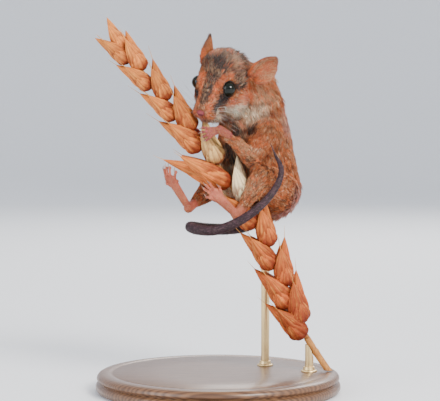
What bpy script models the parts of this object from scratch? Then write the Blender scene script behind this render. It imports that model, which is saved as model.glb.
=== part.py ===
"""A life-size field mouse (harvest mouse) clinging to an ear of wheat, on a small display stand.

The mouse sits behind and to the right of the ear, its head turned to the front and down, one
hand and both hind feet on the ear, and its tail passed behind the ear and back across its front.
+Z is up, -Y is the front, and the origin is the middle of the base's underside.
All sizes below are in millimetres.
"""

import math
import random

import bmesh
import bpy
from mathutils import Matrix, Vector

MM = 0.001
GAP = 0.3
WORLD = Matrix.Identity(4)

# The head is set by the midpoint of its two eyes and three turns, in degrees.
# In its frame X runs forward to the nose, Y to the animal's left and Z up to the crown.
HEAD_AT = (-0.9, -1.2, 78.7)
HEAD_YAW = 35.0
HEAD_PITCH = 32.0
HEAD_ROLL = -14.0
NOSE_REACH = 8.5
EYE_AT = (0.2, 4.25, 1.2)
EYE_LOOK = (0.30, 0.90, 0.28)
EYE_RADIUS = 1.95
LID_OUT = 0.4
LID_THICK = 0.27
HEAD_CUT_AT = (-7.5, 0.0, -2.0)
HEAD_CUT_TILT = 37.0
HEAD_CUT_DROP = 12.1

EAR_LENGTH = 8.2
EAR_WIDTH = 6.3
EAR_CUP = 1.9
EAR_WALL = 0.55
EAR_ROOTS = {"left": (-7.3, 8.2, 1.6), "right": (-6.2, -5.6, 3.6)}
EAR_TIPS = {"left": (-0.62, 0.58, 0.48), "right": (-0.68, -0.15, 0.72)}
EAR_OPENINGS = {"left": (0.70, 0.70, 0.10), "right": (0.50, -0.86, 0.10)}

# The trunk's middle line from nape to rump, each point with its radius.
TRUNK = (
    ((8.0, 7.0, 79.2), 7.3),
    ((10.0, 8.6, 74.0), 8.2),
    ((11.0, 9.8, 67.0), 8.5),
    ((12.1, 10.6, 60.0), 8.8),
    ((13.2, 11.0, 52.8), 9.3),
)
# The chest and belly, which lean on the ear of wheat.
BELLY = (
    ((5.4, 6.8, 69.6), 5.4),
    ((5.2, 8.2, 62.6), 5.9),
    ((7.4, 9.0, 55.4), 6.0),
)
NECK_CUT_AT = (10.2, 9.0, 71.0)
NECK_CUT_FACING = (-0.45, -0.25, 0.86)

# About how many triangles each furred piece keeps.
BODY_TRIANGLES = {
    "head": 1700,
    "neck": 480,
    "torso": 1500,
    "arm_left": 420,
    "arm_right": 360,
    "leg_left": 620,
    "leg_right": 620,
}

FINISHED_HEAD_TRIANGLES = 3100

# Each limb from the trunk outwards, each point with its radius, and the paw it ends in.
LIMBS = {
    "arm_left": (((12.6, 2.8, 67.4), 4.7), ((8.8, -2.2, 61.0), 2.7), ((1.5, -5.9, 67.8), 1.35)),
    "arm_right": (((6.0, 13.8, 67.0), 4.4), ((-0.8, 13.0, 61.4), 2.5), ((-5.2, 7.8, 67.0), 1.3)),
    "leg_left": (((15.2, 5.4, 52.0), 6.5), ((11.6, -3.0, 56.0), 3.7), ((6.2, -6.3, 48.4), 1.45)),
    "leg_right": (((8.0, 15.6, 51.0), 6.2), ((-1.4, 9.4, 52.8), 3.6), ((-6.2, 2.4, 49.0), 1.45)),
}
PAWS = {
    "hand_left": {"limb": "arm_left", "heel": (0.4, -6.3, 68.3), "tip": (-4.8, -6.4, 66.8), "sole": (0, 1, 0)},
    "hand_right": {"limb": "arm_right", "heel": (-5.9, 6.9, 67.6), "tip": (-10.6, 4.6, 69.0), "sole": (0, -1, 0)},
    "foot_left": {"limb": "leg_left", "heel": (4.9, -6.9, 46.4), "tip": (-3.9, -6.7, 54.8), "sole": (0, 1, 0)},
    "foot_right": {
        "limb": "leg_right",
        "heel": (-7.6, 0.6, 47.8),
        "tip": (-14.4, -0.8, 59.0),
        "sole": (0.50, 0.75, 0.35),
    },
}
HAND = {"width": 2.9, "thick": 0.80, "digit": 0.42, "knuckles": 0.42, "wrist": 1.1, "triangles": 400}
FOOT = {"width": 3.1, "thick": 0.86, "digit": 0.46, "knuckles": 0.66, "wrist": 1.25, "triangles": 520}
HAND_DIGITS = ((-0.75, 0.35), (-0.27, 0.0), (0.27, 0.0), (0.75, 0.35))
FOOT_DIGITS = ((-0.88, 2.9), (-0.42, 0.5), (0.0, 0.2), (0.42, 0.5), (0.86, 2.2))
CLAW_LENGTH = 1.1
CLAW_RADIUS = 0.27

# The tail's middle line from the rump to the tip, each point with its radius.
TAIL = (
    ((12.2, 15.6, 46.6), 1.60),
    ((8.4, 15.0, 42.5), 1.56),
    ((2.6, 12.4, 41.5), 1.52),
    ((-2.8, 8.0, 41.9), 1.46),
    ((-6.2, 2.6, 42.7), 1.40),
    ((-7.1, -3.2, 43.1), 1.36),
    ((-4.9, -8.0, 42.7), 1.32),
    ((-0.4, -10.2, 42.8), 1.26),
    ((5.4, -10.9, 45.1), 1.16),
    ((10.8, -10.6, 49.0), 1.02),
    ((14.8, -9.2, 53.7), 0.86),
    ((16.2, -6.9, 58.0), 0.68),
    ((14.8, -4.6, 61.6), 0.50),
    ((13.5, -4.0, 64.6), 0.36),
)
TAIL_PIECES = 5
TAIL_STEPS = 4
TAIL_SIDES = 10

# The stalk's middle line from the cut end of the stem to the tip of the ear of wheat.
STALK = (
    (29.4, 0.0, 4.4),
    (24.6, 0.0, 11.6),
    (21.2, 0.0, 17.6),
    (17.0, 0.0, 27.6),
    (12.4, 0.0, 38.4),
    (6.2, 0.0, 50.0),
    (-1.6, 0.0, 60.6),
    (-8.6, 0.0, 69.2),
    (-15.4, 0.0, 77.6),
    (-21.8, 0.0, 85.4),
    (-26.0, 0.0, 90.0),
)
STALK_RADIUS = 1.0
RACHIS_RADIUS = 0.8
WHEAT_STARTS = 0.14
SPIKELETS = 18
HUSK_LENGTH = 11.6
HUSK_WIDTH = 4.8
HUSK_DEPTH = 3.3
HUSK_SPREAD = 25.0
HUSK_FAN = 24.0
HUSK_SIDES = 6
HUSK_RINGS = 5
HUSKS_THAT_REACH_UP = 9
LONG_HUSKS = (8,)
LONG_HUSK = 1.45
LONG_HUSK_SPREAD = 8.0
TIP_SCALE = 0.72
WHEAT_KEPT = 0.85
WHEAT_SECTIONS = {"perch_ear_low": 0.41, "perch_ear_middle": 0.70, "perch_ear_top": 1.0}

BASE_RADIUS = 32.0
BASE_THICK = 5.0
BASE_ROUND = 0.9
ROD_RADIUS = 1.1
BODY_ROD_AT = (12.6, 10.2)
STEM_ROD_SHARE = 0.12

COLOURS = {
    "fur": ((0.46, 0.20, 0.085), 0.85, 0.0),
    "skin": ((0.62, 0.33, 0.29), 0.60, 0.0),
    "tail": ((0.13, 0.085, 0.085), 0.65, 0.0),
    "eye": ((0.010, 0.012, 0.008), 0.06, 0.0),
    "wheat": ((0.72, 0.36, 0.13), 0.70, 0.0),
    "wood": ((0.30, 0.17, 0.09), 0.50, 0.0),
    "metal": ((0.74, 0.55, 0.28), 0.35, 1.0),
}


def material(kind):
    """The Principled material of one finish, made once."""
    made = bpy.data.materials.get(kind)
    if made:
        return made
    colour, roughness, metallic = COLOURS[kind]
    made = bpy.data.materials.new(kind)
    made.use_nodes = True
    shader = made.node_tree.nodes["Principled BSDF"]
    shader.inputs["Base Color"].default_value = (*colour, 1.0)
    shader.inputs["Roughness"].default_value = roughness
    shader.inputs["Metallic"].default_value = metallic
    return made


def scaled(point):
    """A point given in millimetres, in metres."""
    return Vector(point) * MM


def frame_at(place, forward, left):
    """A frame at a place: X along forward, Y near left, Z square to both."""
    x = Vector(forward).normalized()
    z = x.cross(Vector(left)).normalized()
    y = z.cross(x)
    return Matrix.Translation(scaled(place)) @ Matrix((x, y, z)).transposed().to_4x4()


def head_frame():
    yaw = Matrix.Rotation(math.radians(-HEAD_YAW), 3, "Z")
    forward = yaw @ Vector((0, -1, 0))
    left = yaw @ Vector((1, 0, 0))
    forward = Matrix.Rotation(math.radians(HEAD_PITCH), 3, left) @ forward
    left = Matrix.Rotation(math.radians(HEAD_ROLL), 3, forward) @ left
    return frame_at(HEAD_AT, forward, left)


def limb_lumps(points):
    """Overlapping balls along a tapered limb, as (frame, centre, radii)."""
    lumps = []
    for (start, start_radius), (end, end_radius) in zip(points, points[1:]):
        start, end = Vector(start), Vector(end)
        steps = max(2, math.ceil((end - start).length / (0.4 * min(start_radius, end_radius))))
        for step in range(steps + 1):
            share = step / steps
            radius = start_radius + (end_radius - start_radius) * share
            lumps.append((WORLD, start.lerp(end, share), (radius,) * 3))
    return lumps


def head_lumps(frame):
    """Skull, brow, bridge, muzzle, nose, whisker pads, cheeks, jaw and throat."""
    nose = NOSE_REACH
    lumps = [
        ((-5.4, 0, 1.6), (6.8, 6.6, 6.4)),
        ((-0.6, 0, 0.9), (4.8, 4.1, 3.4)),
        ((-5.8, 0, -3.4), (5.4, 5.6, 4.6)),
        ((nose - 4.6, 0, -1.7), (4.0, 3.4, 2.8)),
        ((nose - 0.8, 0, -1.3), (0.9, 1.1, 0.85)),
    ]
    for side in (1, -1):
        lumps.append(((-5.6, 3.4 * side, 0.4), (4.2, 4.0, 4.0)))
        lumps.append(((-0.4, 3.0 * side, 0.7), (3.3, 2.65, 2.9)))
        lumps.append(((-1.8, 3.2 * side, -3.0), (4.8, 3.5, 4.4)))
        lumps.append(((-3.6, 3.8 * side, -5.0), (5.2, 3.7, 5.2)))
        lumps.append(((nose - 2.8, 1.4 * side, -2.6), (2.4, 1.95, 1.85)))
    for step in range(9):
        share = step / 8
        lumps.append(((-3.0 + 8.2 * share, 0, -6.8 + 2.5 * share), (4.2 - 2.25 * share,) * 3))
        lumps.append(((0.4 + 6.4 * share, 0, -0.1 - 1.3 * share), (3.9 - 2.2 * share,) * 3))
    return [(frame, centre, radii) for centre, radii in lumps]


def body_lumps(frame):
    """Every lump of the furred body, the head with the trunk and the limbs."""
    lumps = head_lumps(frame) + limb_lumps(TRUNK) + limb_lumps(BELLY)
    for points in LIMBS.values():
        lumps += limb_lumps(points)
    return lumps


def shape_of(lumps, growth=0.0, detail=3):
    """A mesh of ellipsoids, each grown by the same amount."""
    shape = bmesh.new()
    for frame, centre, radii in lumps:
        grown = Vector(radii) * MM + Vector((growth,) * 3) * MM
        matrix = frame @ Matrix.Translation(scaled(centre)) @ Matrix.Diagonal((*grown, 1.0))
        bmesh.ops.create_icosphere(shape, subdivisions=detail, radius=1.0, matrix=matrix)
    return shape


def mesh_from(shape, name):
    mesh = bpy.data.meshes.new(name)
    shape.to_mesh(mesh)
    shape.free()
    return mesh


def new_object(name, mesh, kind):
    """A named part of the model."""
    made = bpy.data.objects.new(name, mesh)
    model.objects.link(made)
    made.data.materials.clear()
    made.data.materials.append(material(kind))
    return made


def new_helper(name, mesh):
    """A cutter or a piece still to be joined, which isn't a part of the model itself."""
    made = bpy.data.objects.new(name, mesh)
    helpers.objects.link(made)
    made.hide_render = True
    made.display_type = "WIRE"
    return made


def apply_modifiers(thing):
    """Replaces the object's mesh by its evaluated one."""
    bpy.context.view_layer.update()
    graph = bpy.context.evaluated_depsgraph_get()
    mesh = bpy.data.meshes.new_from_object(thing.evaluated_get(graph))
    thing.modifiers.clear()
    thing.data = mesh
    return thing


def fuse(thing, voxel, smoothing, triangles, kept_fine=None):
    """Makes one soft closed body of overlapping lumps: remeshed, smoothed and thinned out."""
    remesh = thing.modifiers.new("Fuse", "REMESH")
    remesh.mode = "VOXEL"
    remesh.voxel_size = voxel * MM
    smooth = thing.modifiers.new("Soften", "SMOOTH")
    smooth.factor = 0.5
    smooth.iterations = smoothing
    thing.modifiers.new("Triangles", "TRIANGULATE")
    apply_modifiers(thing)
    thin = thing.modifiers.new("Thin", "DECIMATE")
    thin.ratio = min(1.0, triangles / len(thing.data.polygons))
    if kept_fine:
        group = thing.vertex_groups.new(name="coarse")
        for corner in thing.data.vertices:
            group.add([corner.index], kept_fine(corner.co), "REPLACE")
        thin.vertex_group = group.name
        thin.vertex_group_factor = 1.0
    apply_modifiers(thing)
    thing.vertex_groups.clear()
    return thing


def boolean(thing, other, operation, spent=True):
    """One Boolean, applied. The other body is removed once it is spent."""
    modifier = thing.modifiers.new("Cut", "BOOLEAN")
    modifier.operation = operation
    modifier.solver = "EXACT"
    modifier.object = other
    apply_modifiers(thing)
    if spent:
        bpy.data.objects.remove(other)
    return thing


def keep_largest(thing):
    """Drops every closed surface but the one that holds the most."""
    shape = bmesh.new()
    shape.from_mesh(thing.data)
    bmesh.ops.remove_doubles(shape, verts=shape.verts, dist=1e-7)
    bmesh.ops.triangulate(shape, faces=shape.faces)
    unseen = set(shape.faces)
    surfaces = []
    while unseen:
        front = [unseen.pop()]
        surface = list(front)
        while front:
            for edge in front.pop().edges:
                for face in edge.link_faces:
                    if face in unseen:
                        unseen.remove(face)
                        front.append(face)
                        surface.append(face)
        surfaces.append(surface)

    def volume(surface):
        corners = ([corner.co for corner in face.verts] for face in surface)
        return abs(sum(a.dot(b.cross(c)) for a, b, c in corners))

    surfaces.sort(key=volume)
    scraps = [face for surface in surfaces[:-1] for face in surface]
    bmesh.ops.delete(shape, geom=scraps, context="FACES")
    loose = [corner for corner in shape.verts if not corner.link_faces]
    bmesh.ops.delete(shape, geom=loose, context="VERTS")
    shape.to_mesh(thing.data)
    shape.free()
    return thing


def block(name, frame, low, high):
    """A box between two corners of a frame, as a helper."""
    low, high = scaled(low), scaled(high)
    shape = bmesh.new()
    matrix = frame @ Matrix.Translation((low + high) / 2) @ Matrix.Diagonal((*(high - low), 1.0))
    bmesh.ops.create_cube(shape, size=1.0, matrix=matrix)
    return new_helper(name, mesh_from(shape, name))


def split(whole, name, inner, outer):
    """Cuts what lies inside one helper out of the whole as a new part, and clears it to the wider helper."""
    part = new_object(name, whole.data.copy(), "fur")
    boolean(part, inner, "INTERSECT")
    boolean(whole, outer, "DIFFERENCE")
    keep_largest(whole)
    return keep_largest(part)


def thin_out(thing, triangles):
    """Drops the slivers that the cuts left, down to about so many triangles."""
    thin = thing.modifiers.new("Thin", "DECIMATE")
    thin.ratio = min(1.0, triangles / triangle_count(thing))
    return keep_largest(apply_modifiers(thing))


def triangle_count(thing):
    return sum(len(face.vertices) - 2 for face in thing.data.polygons)


def smooth_path(points, steps):
    """Points along a smooth curve through the given ones (Catmull-Rom), with their radii."""
    rows = [Vector((*point, radius)) for point, radius in points]
    rows = [2 * rows[0] - rows[1], *rows, 2 * rows[-1] - rows[-2]]
    path = []
    for a, b, c, d in zip(rows, rows[1:], rows[2:], rows[3:]):
        for step in range(steps):
            t = step / steps
            bend = 2 * a - 5 * b + 4 * c - d
            twist = 3 * b - a - 3 * c + d
            path.append(0.5 * (2 * b + (c - a) * t + bend * t**2 + twist * t**3))
    path.append(rows[-2])
    return [(Vector(row[:3]), row[3]) for row in path]


def tube_mesh(name, path, sides, growth=0.0):
    """A closed round bar along a path, as a bevelled curve turned into a mesh."""
    curve = bpy.data.curves.new(name, "CURVE")
    curve.dimensions = "3D"
    curve.bevel_depth = MM
    curve.bevel_resolution = sides // 2 - 2
    curve.use_fill_caps = True
    spline = curve.splines.new("POLY")
    spline.points.add(len(path) - 1)
    for spot, (point, radius) in zip(spline.points, path):
        spot.co = (*scaled(point), 1.0)
        spot.radius = radius + growth
    guide = bpy.data.objects.new(name + "_line", curve)
    helpers.objects.link(guide)
    bpy.context.view_layer.update()
    graph = bpy.context.evaluated_depsgraph_get()
    mesh = bpy.data.meshes.new_from_object(guide.evaluated_get(graph))
    bpy.data.objects.remove(guide)
    shape = bmesh.new()
    shape.from_mesh(mesh)
    bmesh.ops.remove_doubles(shape, verts=shape.verts, dist=1e-6)
    bmesh.ops.recalc_face_normals(shape, faces=shape.faces)
    return mesh_from(shape, name)


def union_of(name, pieces, kind):
    """Joins closed pieces into one body by one Boolean union on their collection."""
    group = bpy.data.collections.new(name + "_pieces")
    bpy.context.scene.collection.children.link(group)
    first, *rest = pieces
    for piece in rest:
        helpers.objects.unlink(piece)
        group.objects.link(piece)
    thing = new_object(name, first.data, kind)
    bpy.data.objects.remove(first)
    modifier = thing.modifiers.new("Join", "BOOLEAN")
    modifier.operation = "UNION"
    modifier.operand_type = "COLLECTION"
    modifier.collection = group
    modifier.solver = "MANIFOLD"
    apply_modifiers(thing)
    for piece in list(group.objects):
        bpy.data.objects.remove(piece)
    bpy.data.collections.remove(group)
    return keep_largest(thing)


def make_body(frame):
    """The furred body in one form, parted into head, neck, torso, arms and legs by thin cuts."""
    torso = new_object("torso", mesh_from(shape_of(body_lumps(frame)), "torso"), "fur")
    to_head = frame.inverted()
    fuse(torso, 0.36, 5, 9000, lambda spot: 0.5 if (to_head @ spot).x > -9 * MM else 1.0)

    tilt = Matrix.Translation(scaled(HEAD_CUT_AT)) @ Matrix.Rotation(math.radians(-HEAD_CUT_TILT), 4, "Y")
    inner = block("head_inner", frame @ tilt, (0, -16, -HEAD_CUT_DROP), (30, 16, 24))
    outer = block("head_outer", frame @ tilt, (-GAP, -17, -HEAD_CUT_DROP - GAP), (31, 17, 25))
    head = split(torso, "head", inner, outer)

    parts = {"head": head, "torso": torso}
    for name, points in LIMBS.items():
        inner = new_helper(name + "_inner", mesh_from(shape_of(limb_lumps(points), 0.5), name))
        outer = new_helper(name + "_outer", mesh_from(shape_of(limb_lumps(points), 0.5 + GAP), name))
        fuse(inner, 0.5, 2, 170)
        fuse(outer, 0.5, 2, 170)
        parts[name] = split(torso, name, inner, outer)

    facing = frame_at(NECK_CUT_AT, NECK_CUT_FACING, (1, 0, 0))
    inner = block("neck_inner", facing, (0, -13, -13), (30, 13, 13))
    outer = block("neck_outer", facing, (-GAP, -14, -14), (31, 14, 14))
    parts["neck"] = split(torso, "neck", inner, outer)
    for name, triangles in BODY_TRIANGLES.items():
        thin_out(parts[name], triangles)
    return parts


def finish_head(head, frame):
    """Adds the lids, and cuts the eye sockets, the line of the mouth and the nostrils."""
    for side, name in ((1, "left"), (-1, "right")):
        look = Vector((EYE_LOOK[0], EYE_LOOK[1] * side, EYE_LOOK[2])).normalized()
        centre = Vector((EYE_AT[0], EYE_AT[1] * side, EYE_AT[2]))
        rim = math.sqrt((EYE_RADIUS + GAP + 0.8 * LID_THICK) ** 2 - LID_OUT**2)
        turn = look.to_track_quat("Z", "X").to_matrix().to_4x4()
        place = frame @ Matrix.Translation(scaled(centre + look * LID_OUT)) @ turn
        boolean(head, lid_ring(place, rim, name), "UNION")
        socket = shape_of([(frame, centre, (EYE_RADIUS,) * 3)], GAP)
        boolean(head, new_helper("socket", mesh_from(socket, "socket")), "DIFFERENCE")
    for cutter in mouth_cutters(head, frame):
        boolean(head, cutter, "DIFFERENCE")
    return thin_out(head, FINISHED_HEAD_TRIANGLES)


def lid_ring(place, radius, name):
    """The raised rim of the lids round one eye."""
    bpy.ops.mesh.primitive_torus_add(
        major_radius=radius * MM, minor_radius=LID_THICK * MM, major_segments=18, minor_segments=6
    )
    ring = bpy.context.object
    mesh = ring.data
    bpy.data.objects.remove(ring)
    mesh.transform(place)
    return new_helper("lid_" + name, mesh)


def on_surface(thing, frame, point):
    """The nearest point of a body to a point of a frame, in millimetres of the world."""
    _, spot, _, _ = thing.closest_point_on_mesh(frame @ scaled(point))
    return spot / MM


def mouth_cutters(head, frame):
    """Thin bars that cut the line of the mouth, the cleft of the lip and the nostrils."""
    nose = NOSE_REACH
    side_points = [(nose - 5.6, 2.6, -3.1), (nose - 4.2, 2.1, -3.9), (nose - 2.4, 1.2, -4.1)]
    line = [*side_points, (nose - 1.6, 0.0, -3.9)]
    line += [(x, -y, z) for x, y, z in reversed(side_points)]
    cleft = [(nose + 0.1, 0, -2.4), (nose - 0.6, 0, -3.1), (nose - 1.4, 0, -3.8)]
    cutters = []
    for name, points, radius in (("mouth", line, 0.27), ("cleft", cleft, 0.2)):
        path = smooth_path([(on_surface(head, frame, point), radius) for point in points], 3)
        cutters.append(new_helper(name, tube_mesh(name, path, 6)))
    for side in (1, -1):
        spot = on_surface(head, frame, (nose - 0.2, 0.62 * side, -1.75))
        pit = shape_of([(WORLD, spot, (0.3, 0.3, 0.3))], detail=2)
        cutters.append(new_helper("nostril", mesh_from(pit, "nostril")))
    return cutters


def make_eyes(frame):
    for side, name in ((1, "eye_left"), (-1, "eye_right")):
        centre = (EYE_AT[0], EYE_AT[1] * side, EYE_AT[2])
        shape = shape_of([(frame, centre, (EYE_RADIUS,) * 3)])
        new_object(name, mesh_from(shape, name), "eye")


def make_ear(side, frame):
    """A cupped, leaf-shaped ear: a grid bent into a cup and given a wall."""
    tip = Vector(EAR_TIPS[side])
    opening = Vector(EAR_OPENINGS[side])
    shape = bmesh.new()
    bmesh.ops.create_grid(shape, x_segments=9, y_segments=8, size=1.0)
    for corner in shape.verts:
        along = 0.5 * (corner.co.x + 1)
        across = corner.co.y
        outline = 0.42 + 0.58 * math.sin(math.pi * (0.95 * along) ** 0.85)
        half = 0.5 * EAR_WIDTH * max(0.12, outline * math.sqrt(1 - along**5))
        curl = 1.15 * (1 - 0.55 * along)
        cup = EAR_CUP * math.sin(math.pi * (0.25 + 0.75 * along))
        side_way = half * math.sin(curl * across) / math.sin(curl)
        out_way = 1.3 * half * (1 - math.cos(curl * across)) - 0.55 * cup * (1 - across**2)
        corner.co = scaled((EAR_LENGTH * (along - 0.15), side_way, out_way))
    name = "ear_" + side
    ear = new_object(name, mesh_from(shape, name), "fur")
    wall = ear.modifiers.new("Wall", "SOLIDIFY")
    wall.thickness = EAR_WALL * MM
    wall.offset = 0
    apply_modifiers(ear)
    ear.data.transform(frame @ frame_at(EAR_ROOTS[side], tip, opening.cross(tip)))
    return ear


def make_paw(name, limb):
    """A hand or foot: a flat pad with bent digits and claws, grown out of the end of its limb."""
    paw = PAWS[name]
    sizes, digits = (HAND, HAND_DIGITS) if name.startswith("hand") else (FOOT, FOOT_DIGITS)
    turned = 1 if name.endswith("left") else -1
    forward = Vector(paw["tip"]) - Vector(paw["heel"])
    frame = frame_at(paw["heel"], forward, forward.cross(Vector(paw["sole"])))
    length = forward.length
    knuckles = sizes["knuckles"] * length
    thick = sizes["thick"]
    (_, _), (elbow, _), (wrist, wrist_radius) = LIMBS[paw["limb"]]
    wrist = Vector(wrist)
    back = (Vector(elbow) - wrist).normalized()
    lumps = limb_lumps([(wrist + back * 1.2, wrist_radius), (Vector(paw["heel"]), sizes["wrist"])])
    steps = math.ceil(knuckles / 0.7)
    for step in range(steps + 1):
        share = step / steps
        spread = sizes["width"] * (0.34 + 0.16 * share)
        lumps.append((frame, (0.3 + knuckles * share, 0, 0), (0.9, spread, thick)))
    for aside, short in digits:
        aside *= turned * 0.5 * sizes["width"]
        start = Vector((knuckles - 0.5 * short, 0.80 * aside, 0))
        end = Vector((length - CLAW_LENGTH - short, 1.5 * aside, -0.62))
        middle = start.lerp(end, 0.55) + Vector((0, 0, 0.62))
        radius = sizes["digit"]
        for a, b in ((start, middle), (middle, end)):
            lumps += [(frame, a.lerp(b, step / 5), (radius,) * 3) for step in range(6)]
        lumps.append((frame, end, (1.15 * radius,) * 3))
        for step in range(6):
            share = step / 5
            claw = end + Vector((0.25 + (CLAW_LENGTH - 0.25) * share, 0, -0.1 - 0.7 * share**1.5))
            lumps.append((frame, claw, (CLAW_RADIUS * (1.05 - 0.5 * share),) * 3))
    thing = new_object(name, mesh_from(shape_of(lumps, detail=2), name), "skin")
    fuse(thing, 0.15, 1, sizes["triangles"])
    joint = frame_at(wrist, back, (1, 0, 0.3))
    boolean(thing, block(name + "_end", joint, (-0.5 * GAP, -5, -5), (9, 5, 5)), "DIFFERENCE")
    boolean(limb, block(name + "_end", joint, (-9, -5, -5), (0.5 * GAP, 5, 5)), "DIFFERENCE")
    keep_largest(limb)
    keep_largest(thing)
    return lumps


def make_tail():
    """The tail in a few lengths, each a tapered bar, a gap apart. Returns its whole line."""
    path = smooth_path(TAIL, TAIL_STEPS)
    span = (len(path) - 1) / TAIL_PIECES
    for order in range(TAIL_PIECES):
        first, last = round(order * span), round((order + 1) * span)
        run = path[first : last + 1]
        if order:
            (a, radius), (b, _) = run[0], run[1]
            run[0] = (a + (b - a).normalized() * GAP, radius)
        name = f"tail_{order + 1}"
        new_object(name, tube_mesh(name, run, TAIL_SIDES), "tail")
    return path


def stalk_path():
    return smooth_path([(point, 1.0) for point in STALK], 8)


def along_stalk(path, share):
    """A point of the stalk and its direction, at a share of the way from the cut end to the tip."""
    spot = share * (len(path) - 1)
    low = min(int(spot), len(path) - 2)
    (a, _), (b, _) = path[low], path[low + 1]
    return a.lerp(b, spot - low), (b - a).normalized()


def shortened(run):
    """A stretch of path with its end drawn back by the gap."""
    (before, _), (end, radius) = run[-2:]
    return [*run[:-1], (end - (end - before).normalized() * GAP, radius)]


def make_husk(name, base, way, across, size, growth=0.0):
    """One pointed husk with its grain: a sphere drawn out to a point and flattened."""
    length, width, depth = (side + 2 * growth for side in size)
    frame = frame_at(base - way * growth, way, across)
    shape = bmesh.new()
    bmesh.ops.create_uvsphere(shape, u_segments=HUSK_SIDES, v_segments=HUSK_RINGS, radius=1.0)
    for corner in shape.verts:
        share = (0.5 * (1 - corner.co.z)) ** 0.9
        ring = math.hypot(corner.co.x, corner.co.y)
        swell = math.sin(math.pi * min(share, 1.0) ** 0.62) ** 0.85 + 0.16 * (1 - share) if ring > 1e-6 else 0.0
        turn = (corner.co.x / ring, corner.co.y / ring) if ring > 1e-6 else (0.0, 0.0)
        bow = 0.25 * math.sin(math.pi * share)
        corner.co = scaled((length * share, 0.5 * width * swell * turn[0], 0.5 * depth * swell * turn[1] + bow))
    bmesh.ops.transform(shape, matrix=frame, verts=shape.verts)
    bmesh.ops.recalc_face_normals(shape, faces=shape.faces)
    return new_helper(name, mesh_from(shape, name))


def make_perch():
    """The stem and the ear of wheat: husks in threes, left and right in turn, fused to the stalk."""
    draw = random.Random(7)
    path = stalk_path()
    front = Vector((0, -1, 0))
    last = len(path) - 1
    start = round(last * WHEAT_STARTS)
    stem_path = shortened([(point, STALK_RADIUS) for point, _ in path[: start + 1]])
    stem = new_object("perch_stem", tube_mesh("perch_stem", stem_path, 10), "wheat")
    husks = {name: [] for name in WHEAT_SECTIONS}
    for order in range(SPIKELETS):
        share = WHEAT_STARTS + 0.02 + (0.95 - WHEAT_STARTS) * order / (SPIKELETS - 1)
        section = next(name for name, end in WHEAT_SECTIONS.items() if share < end)
        point, way = along_stalk(path, share)
        out = way.cross(front) * (1 if order % 2 else -1)
        size = 1.0 - (1.0 - TIP_SCALE) * max(0.0, (share - 0.45) / 0.55) ** 1.2
        size *= draw.uniform(0.93, 1.07)
        spread = HUSK_SPREAD * (1.0 - 0.45 * max(0.0, share - 0.5)) + draw.uniform(-3, 3)
        spread = math.radians(spread + (LONG_HUSK_SPREAD if order in LONG_HUSKS else 0.0))
        for fan in (-1, 0, 1):
            lean = math.radians(HUSK_FAN * fan)
            tilt = spread * (1.0 if fan == 0 else 0.72)
            side_way = out * math.cos(lean) + front * math.sin(lean)
            aim = (way * math.cos(tilt) + side_way * math.sin(tilt) + front * 0.30 * fan).normalized()
            base = point + out * 0.35 + way * (0.9 if fan == 0 else 0.0) + front * 0.5 * fan
            across = front if fan == 0 else front * 0.45 - out * 0.9 * fan
            length = HUSK_LENGTH * size * (1.06 if fan == 0 else 0.97)
            length *= LONG_HUSK if order in LONG_HUSKS else 1.0
            sides = (length, HUSK_WIDTH * size, HUSK_DEPTH * size)
            husks[section].append((f"husk_{order}_{fan}", base, aim, across, sides))
    parts = [stem]
    below = []
    for name, end in WHEAT_SECTIONS.items():
        stop = round(last * end)
        run = [(point, RACHIS_RADIUS) for point, _ in path[start : stop + 1]]
        start = stop
        rachis = new_helper(name + "_rachis", tube_mesh(name, shortened(run), 8))
        part = union_of(name, [rachis, *(make_husk(*husk) for husk in husks[name])], "wheat")
        for husk in below:
            boolean(part, make_husk(*husk, growth=GAP), "DIFFERENCE")
        below = husks[name][-HUSKS_THAT_REACH_UP:]
        parts.append(part)
    return parts


def make_stand():
    """The round base and two short rods, one under the mouse and one under the stem."""
    shape = bmesh.new()
    matrix = Matrix.Translation(scaled((0, 0, 0.5 * BASE_THICK)))
    bmesh.ops.create_cone(
        shape,
        cap_ends=True,
        segments=64,
        radius1=BASE_RADIUS * MM,
        radius2=BASE_RADIUS * MM,
        depth=BASE_THICK * MM,
        matrix=matrix,
    )
    base = new_object("stand_base", mesh_from(shape, "stand_base"), "wood")
    edge = base.modifiers.new("Round", "BEVEL")
    edge.width = BASE_ROUND * MM
    edge.segments = 2
    edge.limit_method = "ANGLE"
    edge.angle_limit = math.radians(40)
    foot = BASE_THICK + GAP
    stem_spot, _ = along_stalk(stalk_path(), STEM_ROD_SHARE)
    places = {"stand_rod_body": (*BODY_ROD_AT, 50.0), "stand_rod_stem": (stem_spot.x, 0.0, stem_spot.z)}
    rods = []
    for name, (x, y, top) in places.items():
        path = [(Vector((x, y, foot)), ROD_RADIUS), (Vector((x, y, top)), ROD_RADIUS)]
        rods.append(new_object(name, tube_mesh(name, path, 16), "metal"))
    return rods


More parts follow.
